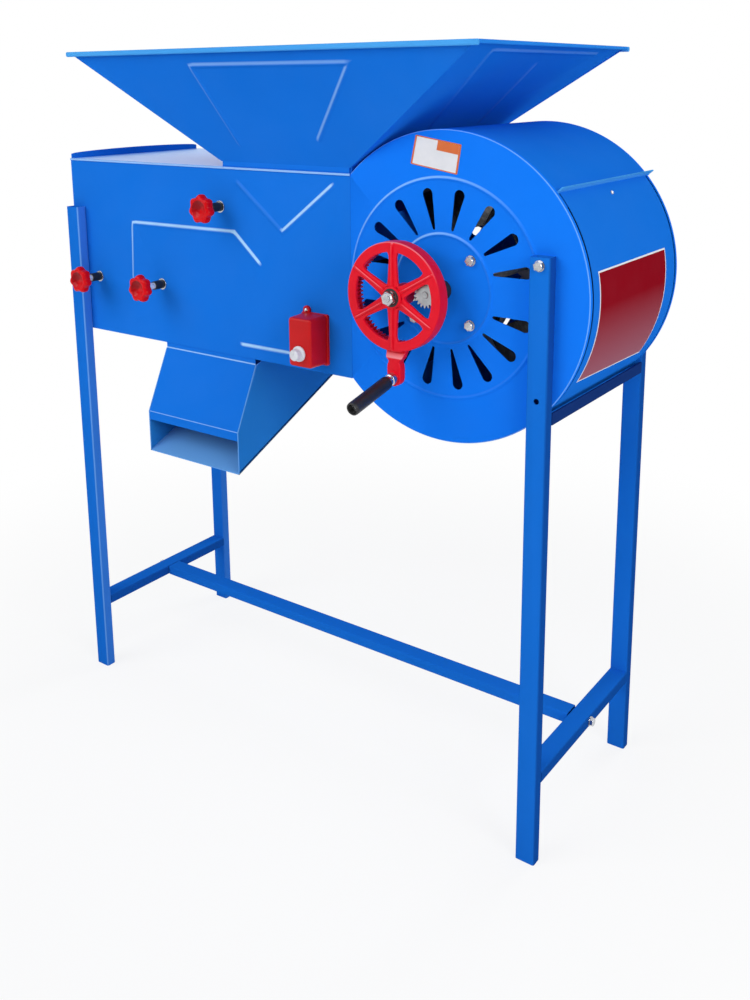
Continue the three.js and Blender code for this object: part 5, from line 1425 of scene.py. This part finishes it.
def crank_arm():
    """The arm that leaves the rim, turns outward and ends in the handle's pad."""
    steps = [(-76.5, 19.5, -35.4, -47.8), (-80, 18.4, -36, -47.6), (-84.6, 17.6, -36.7, -47.8),
             (-86, 17.2, -37, -48.4), (-94, 14.6, -38.8, -54), (-96, 13.4, -39.3, -54)]
    pad_at, pad_half = ARM["pad_at"], ARM["pad_half"]
    outer = [(-99, 10.8), (-101, 10.0), (-103.5, 10.8), (-106, 12.0), (-110, pad_half), (-118, pad_half),
             (pad_at, pad_half)]
    for turn in (15, 30, 45, 58, 70, 80, 86):
        t = math.radians(turn)
        outer.append((pad_at - pad_half * math.sin(t), pad_half * math.cos(t)))
    steps += [(z, half, ARM["back"], ARM["front"]) for z, half in outer]
    rings = []
    for z, half, back, front in steps:
        ring = rectangle(-half, half, back, front, min(ARM["edge"], half * 0.6), 4)
        rings.append([(CX + x, y, CZ + z) for x, y in ring])
    return loft(rings)


rim = rounded([(74.5, -34), (84, -34), (84, -57), (68.5, -57), (68.5, -51), (74.5, -51)],
              [0.8, 1.6, 2.4, 1.6, 0.6, 1.0], 5)
hub = rounded([(8.3, -20), (17, -20), (17, -61), (8.3, -61)], [0.5, 1.6, 2.2, 0.6], 5)
HANDLE_REACH = 125
HANDLE_LEAN = math.radians(12.4)
HANDLE = Matrix.Translation((CX, ARM["front"], CZ - HANDLE_REACH)) @ Matrix.Rotation(HANDLE_LEAN, 4, "X")
boss_line = rounded([(4.8, -2), (9.2, -2), (10.2, 8), (4.8, 8)], [0.3, 1.2, 0, 0], 4)
boss = moved(turned(boss_line, closed=True, steps=48), HANDLE)
wheel_rings = [turned(rim, CX, CZ, steps=168, closed=True), turned(hub, CX, CZ, steps=64, closed=True)]
wheel_casting = joined(*wheel_rings, *[spoke_at(90 + 60 * i) for i in range(6)], crank_arm(), boss)
wheel_made = piece("crank_wheel_casting", wheel_casting, "crank", RED_SLOT, RED, ["crank_wheel"], sharp=38)


# Where a highlight is painted on the wheel, by reach from its axis, or by height on its arm
WHEEL_HIGHLIGHT = {"rib": (20, 80), "rib_front": -58.2, "edge": (82.6, 84.2), "edge_front": -54.8, "most": 0.55,
        "arm": (-95, -86.5), "arm_front": -46, "arm_facing": -0.3, "arm_share": 0.75, "to_right": -0.35}


def paint_wheel_highlight(made):
    """Stores, for the paint, a painted highlight on the wheel's ribs, rim edge and
    arm: most on the side that faces up and to the left."""
    inverse = TO_FRAME.inverted()
    turn = inverse.to_3x3().normalized()
    highlight = []
    for v in made.data.vertices:
        spot, facing = inverse @ v.co, (turn @ v.normal).normalized()
        reach = math.hypot(spot.x - CX, spot.z - CZ)
        is_rib = WHEEL_HIGHLIGHT["rib"][0] < reach < WHEEL_HIGHLIGHT["rib"][1] and spot.y < WHEEL_HIGHLIGHT["rib_front"]
        is_edge = WHEEL_HIGHLIGHT["edge"][0] < reach < WHEEL_HIGHLIGHT["edge"][1] and spot.y < WHEEL_HIGHLIGHT["edge_front"]
        is_arm = WHEEL_HIGHLIGHT["arm"][0] < spot.z - CZ < WHEEL_HIGHLIGHT["arm"][1] and spot.y < WHEEL_HIGHLIGHT["arm_front"]
        share = max(0.0, min(WHEEL_HIGHLIGHT["most"], facing.z + WHEEL_HIGHLIGHT["to_right"] * facing.x))
        if is_arm and facing.y < WHEEL_HIGHLIGHT["arm_facing"]:
            highlight.append(WHEEL_HIGHLIGHT["arm_share"])
        else:
            highlight.append(share if is_rib or is_edge else 0.0)
    made.data.attributes.new("painted_highlight", "FLOAT", "POINT").data.foreach_set("value", highlight)


paint_wheel_highlight(wheel_made)
hub_seal = rounded([(10.4, -60.4), (14.2, -60.4), (14.2, -61.5), (10.4, -61.5)], 0.4, 3)
piece("crank_hub_seal", turned(hub_seal, CX, CZ, steps=56, closed=True), "crank", "black_plastic", BLACK)

collar = rounded([(4.4, -2.2), (9.3, -2.2), (9.3, -10.3), (7.6, -11.4), (7.6, -17.3), (4.4, -17.3)],
                 [0, 0.9, 0.9, 0.4, 0.5, 0], 4)
bolt_head = rounded([(0.01, -96.9), (7.0, -96.9), (7.0, -101.1), (0.01, -101.1)], [0, 0.3, 0.8, 0], 4)
piece("handle_collar", joined(turned(collar, steps=56, closed=True), turned(bolt_head, steps=40)),
      "crank", "zinc_plate", ZINC, ["handle_bolt"], matrix=HANDLE)
grip = rounded([(4.8, -17.6), (9.9, -17.6), (10.5, -20.5), (10.5, -105), (9.9, -108.5), (7.6, -108.5),
                (7.4, -96.6), (4.8, -96.6)], [0.3, 0.9, 1.5, 2.5, 1.0, 0.7, 0.3, 0], 5)
piece("handle_grip_moulding", turned(grip, steps=72, closed=True), "grip", "black_plastic", GRIP,
      ["handle_grip"], matrix=HANDLE)

stud = rounded([(0.01, 6.1), (8, 6.1), (8, -GAP), (15, -GAP), (15, -6), (12, -6), (12, -19.7), (8, -19.7),
                (8, -61.3), (6, -61.3), (6, -73.4), (0.01, -73.4)],
               [0, 0.6, 0, 0.6, 0.8, 0, 0.6, 0, 0.3, 0, 0.8, 0], 3, closed=False)
piece("crank_stud_turning", turned(stud, CX, CZ, steps=48), "frame", "zinc_plate", ZINC, ["crank_stud"])
grown("crank_stud_nut", BOLTS, seats("crank_stud_nut", [((CX, -61.6, CZ), out_front)]), M12, ZINC, "frame",
      "zinc_plate", ["crank_nut"])

# Bearings, shaft, motor
BRACKET_HALF = 62
BRACKET_BACK = INSIDE + 4
bracket_holes = [circle(BEARING_HOLE, 40), circle(STUD_HOLE, 28, CX, CZ)]
bracket_holes += [circle(BOLT_HOLE, 20, x, z) for x, z in BRACKET]
bracket_edge = rectangle(-BRACKET_HALF, BRACKET_HALF, -BRACKET_HALF, BRACKET_HALF, 5, 5)
piece("bearing_bracket_plate", plate(bracket_edge, INSIDE, BRACKET_BACK, bracket_holes),
      "frame", "plain_steel", STEEL, ["bearing_bracket"])
bolts("bracket_bolt_nuts", [((x, BRACKET_BACK, z), out_back) for x, z in BRACKET],
      {**BARE, "Thread Reach": 0.002})
nose = rounded([(10.3, -12), (15, -12), (15, 6.1), (32, 6.1), (32, 13.1), (10.3, 13.1)],
               [0.5, 1.6, 0, 1.2, 1.8, 0.4], 4)
piece("front_bearing_casting", turned(nose, steps=64, closed=True), "frame", "black_iron", IRON,
      ["front_bearing"])
race = rounded([(10.6, -11.4), (13.6, -11.4), (13.6, -12.6), (10.6, -12.6)], 0.4, 3)
piece("front_bearing_race", turned(race, steps=64, closed=True), "frame", "zinc_plate", ZINC)
back_nose = rounded([(10.3, INSIDE), (32, INSIDE), (32, 8.8), (10.3, 8.8)], [0.4, 1.0, 1.8, 0.4], 4)
piece("back_bearing_casting", turned(back_nose, steps=64, closed=True), "frame", "black_iron", IRON,
      ["back_bearing"], matrix=MIRROR)
shaft_end = WIDTH + SHAFT_PAST_BACK
shaft = rounded([(0.01, shaft_end), (10, shaft_end), (10, -37.5), (5, -37.5), (5, -50), (0.01, -50)],
                [0, 0.8, 0.8, 0, 0.8, 0], 3, closed=False)
piece("fan_shaft_turning", turned(shaft, steps=48), "rotor", "plain_steel", STEEL, ["rotor_shaft"])

FLANGE_BACK = WIDTH + GAP + 8
motor = rounded([(10.3, WIDTH + GAP), (66, WIDTH + GAP), (66, FLANGE_BACK), (53.4, FLANGE_BACK),
                 (53.4, 408.2), (54, 409.3), (54, 431.3), (40, 443.2), (0.01, 443.2), (0.01, 371),
                 (10.3, 371)],
                [0, 1, 2.5, 3, 0.5, 1.5, 12, 9, 0, 0, 0], 6)
piece("motor_casting", turned(motor, steps=128, closed=True), "frame", "motor_grey", MOTOR,
      ["motor_housing"])
fin = rounded([(-3.2, -1.5), (0, -0.85), (0, 0.85), (-3.2, 1.5)], [0, 0.7, 0.7, 0], 3)
FINS = {"count": 44, "radius": 56, "from": 347.0, "to": 409.0}
ringed("motor_cooling_ribs", bar_of(fin, FINS["from"], FINS["to"], 1.2), FINS["count"], FINS["radius"],
       MOTOR, "frame", "motor_grey", Y_AND_Z)
bolts("motor_bolt_heads", [((x, FLANGE_BACK, z), out_back) for x, z in MOTOR_BOLTS], M6)
bolts("motor_bolt_nuts", [((x, WIDTH - INSIDE, z), out_front) for x, z in MOTOR_BOLTS], M6)

# Adjusters with their knobs
STAR = {"radius": 25.5, "scallop": 0.075, "lobes": 7, "points": 168, "stem": 11}
# The dish's painted shade, and how dark it is: most on the side that lies up and to the left
DISH_SHADE = {"share": 0.61, "depth": 8, "most": 0.9, "middle": 0.55, "turned": 0.6, "up": 0.8, "left": 0.6}


def star_ring(share, depth, lobed):
    """One ring of a knob; lobed tells how much of its scallops the ring has."""
    ring = []
    for i in range(STAR["points"]):
        turn = 2 * math.pi * i / STAR["points"]
        hollow = STAR["scallop"] * lobed * (1 - math.cos(STAR["lobes"] * turn))
        r = STAR["radius"] * share * (1 - hollow)
        ring.append((r * math.sin(turn), depth, r * math.cos(turn)))
    return ring


def star_knob(name, node, body, x, z, reach):
    """A moulded star knob: a stem, rounded lobes and a bowl-shaped dish in front."""
    stem = STAR["stem"] / STAR["radius"]
    back = [(stem, 22, 0), (stem, 17, 0), (0.47, 16, 0), (0.80, 16, 0.85), (0.885, 15.7, 0.95)]
    lobes = [(0.95, 14.8), (0.985, 13.2), (1.0, 10.8), (1.0, 7.5), (0.99, 5.0), (0.965, 3.0), (0.92, 1.5),
             (0.86, 0.5), (0.79, 0.1)]
    bowl = [(0.72, 0.0, 0.8), (0.66, 0.2, 0.6), (0.60, 0.7, 0.4), (0.54, 1.5, 0.3), (0.47, 2.5, 0.2),
            (0.39, 3.4, 0.1), (0.30, 4.1, 0), (0.21, 4.4, 0), (0.12, 4.5, 0), (0.05, 4.5, 0)]
    rows = back + [(share, depth, 1) for share, depth in lobes] + bowl
    rings = [star_ring(share, depth - reach, lobed) for share, depth, lobed in rows]
    matrix = Matrix.Translation((x, 0, z))
    made = piece(name, loft(rings), body, "red_plastic", KNOB_RED, [node], sharp=50, matrix=matrix)
    # Painted shade in the dish, darkest up and to the left
    inverse = (TO_FRAME @ matrix).inverted()
    hollow = []
    for v in made.data.vertices:
        spot = inverse @ v.co
        from_middle = math.hypot(spot.x, spot.z)
        away = (DISH_SHADE["up"] * spot.z - DISH_SHADE["left"] * spot.x) / max(from_middle, 0.1)
        is_dish = from_middle < DISH_SHADE["share"] * STAR["radius"] and spot.y < DISH_SHADE["depth"] - reach
        share = max(0.0, min(1.0, DISH_SHADE["middle"] + DISH_SHADE["turned"] * away))
        hollow.append(DISH_SHADE["most"] * share if is_dish else 0.0)
    made.data.attributes.new("hollow", "FLOAT", "POINT").data.foreach_set("value", hollow)


WASHER_FRONT = 2.3
for side, reach, length in (("upper", 54, 22), ("middle", 63, 20), ("tail", 56, 20)):
    x, z = RODS[side]
    star_knob(f"{side}_star_knob", f"{side}_knob", f"{side}_adjuster", x, z, reach)
    start, end = -WASHER_FRONT - GAP, -WASHER_FRONT - GAP - length
    tube = rounded([(ROD_HOLE, start), (8, start), (8, end), (ROD_HOLE, end)], [0, 0.5, 0.9, 0.3], 4)
    piece(f"{side}_rod_sleeve", turned(tube, x, z, steps=48, closed=True), "frame", "black_plastic", BLACK,
          [f"{side}_sleeve"])
    ring = rounded([(ROD_HOLE, -GAP), (10.5, -GAP), (10.5, -WASHER_FRONT), (ROD_HOLE, -WASHER_FRONT)],
                   [0, 0.3, 0.5, 0.2], 3)
    piece(f"{side}_rod_washer", turned(ring, x, z, steps=48, closed=True), "frame", "zinc_plate", ZINC,
          [f"{side}_washer"])

# Switch and its dial
BOX_RIGHT, BOX_TOP = SEAM - 48.6, 101 - HALF
BASE = {"left": 53, "right": 2, "low": 86, "round": 3.2}
COVER = {"left": 49, "low": 84, "top": 0.3, "round": 5.2}
EAR_HALF = 7
EAR = (SEAM - 91.6, BOX_TOP + 10.5 - EAR_HALF)
DIAL = (SEAM - 73.6, 41 - HALF)


def cushion(outline, back, front, edge, steps=5, draft=0.0):
    """A block with a rounded front edge; outline(inset) gives one of its rings."""
    way = 1 if front > back else -1
    rows = [(outline(0), back)]
    for i in range(steps + 1):
        t = math.pi / 2 * i / steps
        rows.append((outline(draft + edge * (1 - math.cos(t))), front - way * edge * (1 - math.sin(t))))
    return loft([[(x, y, z) for x, z in ring] for ring, y in rows])


def base_ring(inset):
    return rectangle(BOX_RIGHT - BASE["left"] + inset, BOX_RIGHT + BASE["right"] - inset,
                     BOX_TOP - BASE["low"] + inset, BOX_TOP - inset, BASE["round"], 5)


def ear_ring(inset):
    half, low = EAR_HALF - inset, BOX_TOP - EAR_HALF
    return [(EAR[0] - half, low), (EAR[0] + half, low)] + arc(half, 0, 180, 20, *EAR)


def cover_ring(inset):
    return rectangle(BOX_RIGHT - COVER["left"] + inset, BOX_RIGHT - inset, BOX_TOP - COVER["low"] + inset,
                     BOX_TOP - COVER["top"] - inset, COVER["round"], 7)


base = joined(cushion(base_ring, -GAP, -5, edge=1.0), cushion(ear_ring, -GAP, -4.9, edge=1.0))
piece("switch_base_moulding", base, "frame", "red_plastic", BOX_RED, ["switch_base"], sharp=40)
grown("switch_ear_screw", SCREWS, seats("switch_ear_screw", [((EAR[0], -4.8, EAR[1]), out_front)]),
      {"Head Radius": 0.0036, "Head Height": 0.0025}, ZINC, "frame", "zinc_plate")
cover = cushion(cover_ring, -4.6, -46, edge=4.2, steps=8, draft=1.0)
piece("switch_cover_moulding", cover, "frame", "red_plastic", BOX_RED, ["switch_cover"], sharp=40)
dial = rounded([(0.01, -44), (3, -44), (3, -46.3), (13, -46.3), (13, -49.3), (9.0, -50.6), (8.6, -61.3),
                (0.01, -61.3)], [0, 0, 0, 0.4, 1.0, 0.8, 1.3, 0], 4, closed=False)
POINTER = {"half": 0.9, "length": 8.2, "back": -60, "front": -62.2}


def pointer_ring(inset):
    half, top = POINTER["half"] - inset, POINTER["length"] - inset
    return rectangle(DIAL[0] - half, DIAL[0] + half, DIAL[1] + inset, DIAL[1] + top, 0.5, 3)


pointer = cushion(pointer_ring, POINTER["back"], POINTER["front"], edge=0.4, steps=3)
piece("speed_dial_moulding", joined(turned(dial, *DIAL, steps=64), pointer), "speed_dial", "white_plastic",
      WHITE, ["speed_knob"], sharp=40)
flute = rounded([(-1, -0.8), (0, -0.5), (0, 0.5), (-1, 0.8)], [0, 0.45, 0.45, 0], 3)
FLUTES = {"count": 26, "radius": 9.4, "from": 50.2, "to": 60.2}
ringed("speed_dial_flutes", bar_of(flute, FLUTES["from"], FLUTES["to"], 0.5), FLUTES["count"],
       FLUTES["radius"], WHITE, "speed_dial", "white_plastic",
       Matrix.Translation((DIAL[0], 0, DIAL[1])) @ FRONT)


# Grain chute; its lines are places (y, z)
CHUTE_RIGHT = SEAM - 213.6
CHUTE_LEFT = CHUTE_RIGHT - 225
CHUTE_FLOOR = 1.6
# Where the dark strips of painted shadow lie along the trough's floor
SEAM_SHADOW = {"low": 2.4, "high": 5.0, "front": -49.5, "back": 336, "half": 0.12}


def highlighted(made, value_at):
    """Stores, for the paint, how pale the painted highlight is at each point of a piece."""
    inverse = TO_FRAME.inverted()
    values = [value_at(inverse @ v.co) for v in made.data.vertices]
    made.data.attributes.new("painted_highlight", "FLOAT", "POINT").data.foreach_set("value", values)


def chute_cover_sheet():
    """The bent sheet over the chute, with a painted highlight along its two bends."""
    line = rounded([(2.55, -155), (2.55, -177), (-49, -289), (-49, -305)], [0, 11, 6, 0], 6, closed=False)
    sheet = across(plate(bent(line, SHEET), CHUTE_LEFT + INSIDE, CHUTE_RIGHT - INSIDE))
    made = piece("chute_cover_panel", sheet, "frame", "blue_paint", BLUE, ["chute_cover"])
    bends = [(Vector(line[4]), 1.7, 0.7), (Vector(line[11]), 0.95, 0.5)]

    def value_at(spot):
        place = Vector((spot.y, spot.z))
        return max(value if (place - bend).length < reach else 0.0 for bend, reach, value in bends)
    highlighted(made, value_at)


def chute_trough_sheets():
    """The trough: two side sheets with a painted highlight along their front edges,
    a sloping floor and a back, with dark strips along the floor's seams as painted shadow."""
    front, back, low, high, back_top = -50.5, 337.2, -366, -196, -167.3
    edge_reach, edge_value = 0.4, 0.6
    slope = (high - low) / (back - front)
    front_line = [(1.5, -178.5), (front, -289), (front, low)]
    side = front_line + [(back, high), (back, back_top), (34, back_top)]
    inner = [(5.0, -180.5), (-48.6, -289.6), (-48.6, -362.4), (334, -195.9)]
    flat = filled(side, (), [(inner, False)])
    edges = [(Vector(a), Vector(b)) for a, b in zip(front_line, front_line[1:])]

    def upright_sheet(x0, x1):
        return slab(flat, lambda u, v: (x0, u, v), lambda u, v: (x1, u, v))
    floor = [(front, low), (back, high), (back, high + CHUTE_FLOOR), (front, low + CHUTE_FLOOR)]
    end = [(back - SHEET, high), (back, high), (back, back_top), (back - SHEET, back_top)]
    sides = [upright_sheet(CHUTE_LEFT, CHUTE_LEFT + SHEET), upright_sheet(CHUTE_RIGHT - SHEET, CHUTE_RIGHT)]
    between_them = [across(plate(line, CHUTE_LEFT, CHUTE_RIGHT)) for line in (floor, end)]
    shape = joined(*sides, *between_them)
    made = piece("chute_trough_panel", shape, "frame", "blue_paint", SHADED, ["chute_trough"])

    def value_at(spot):
        place = Vector((spot.y, spot.z))
        for a, b in edges:
            share = max(0.0, min(1.0, (place - a).dot(b - a) / (b - a).length_squared))
            if (place - a.lerp(b, share)).length < edge_reach:
                return edge_value
        return 0.0
    highlighted(made, value_at)
    first, last, below, above = (SEAM_SHADOW[key] for key in ("front", "back", "low", "high"))
    corners = ((first, below), (last, below), (last, above), (first, above))
    line = [(y, low + slope * (y - front) + lift) for y, lift in corners]
    # Painted shadow: dark strips along the seams of the floor and the sides
    for name, x in (("left", CHUTE_LEFT), ("right", CHUTE_RIGHT)):
        strip = across(plate(line, x - SEAM_SHADOW["half"], x + SEAM_SHADOW["half"]))
        piece(f"chute_{name}_seam_shadow", strip, "frame", "blue_paint", SEAM_SHADOW_BLUE)


chute_cover_sheet()
chute_trough_sheets()

# Dark strips behind the door: painted shadow in its slits
SLIT_SHADOW = {"start": -61.5, "end": 40.2, "leaf": 235.6, "leaf_sheet": 1.2, "rib": 237.0, "rib_sheet": 1.7,
        "leaf_from": 8.0, "rib_from": 14.9, "to": 16.5}


def door_slit_shadow():
    """Two black strips of angle section down in the slits beside the door: painted shadow there."""
    start, end, to = SLIT_SHADOW["start"], SLIT_SHADOW["end"], SLIT_SHADOW["to"]
    leaf = bent(arc(SLIT_SHADOW["leaf"], start, end, 100), SLIT_SHADOW["leaf_sheet"])
    rib = bent(arc(SLIT_SHADOW["rib"], start, end, 100), SLIT_SHADOW["rib_sheet"])
    strips = []
    for line, near in ((leaf, SLIT_SHADOW["leaf_from"]), (rib, SLIT_SHADOW["rib_from"])):
        strips += [plate(line, near, to), plate(line, WIDTH - to, WIDTH - near)]
    piece("door_slit_shadow_strips", joined(*strips), "frame", "black_plastic", BLACK)


door_slit_shadow()


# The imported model's own pieces that show
def finish_of(name):
    # Painted shade: the cradle takes a darkened blue
    if name == "drum_cradle_angle":
        return SHADED_CRADLE_BLUE
    # Painted shade: the blades take a darkened zinc
    if name.startswith("rotor_blade"):
        return SHADED_SPANGLE
    if name.startswith("rotor_"):
        return STEEL
    if name.endswith("_flap"):
        return ROD_ZINC
    return BLUE

for name, node in NODES.items():
    finish = finish_of(name)
    node.data.materials.clear()
    node.data.materials.append(finish)
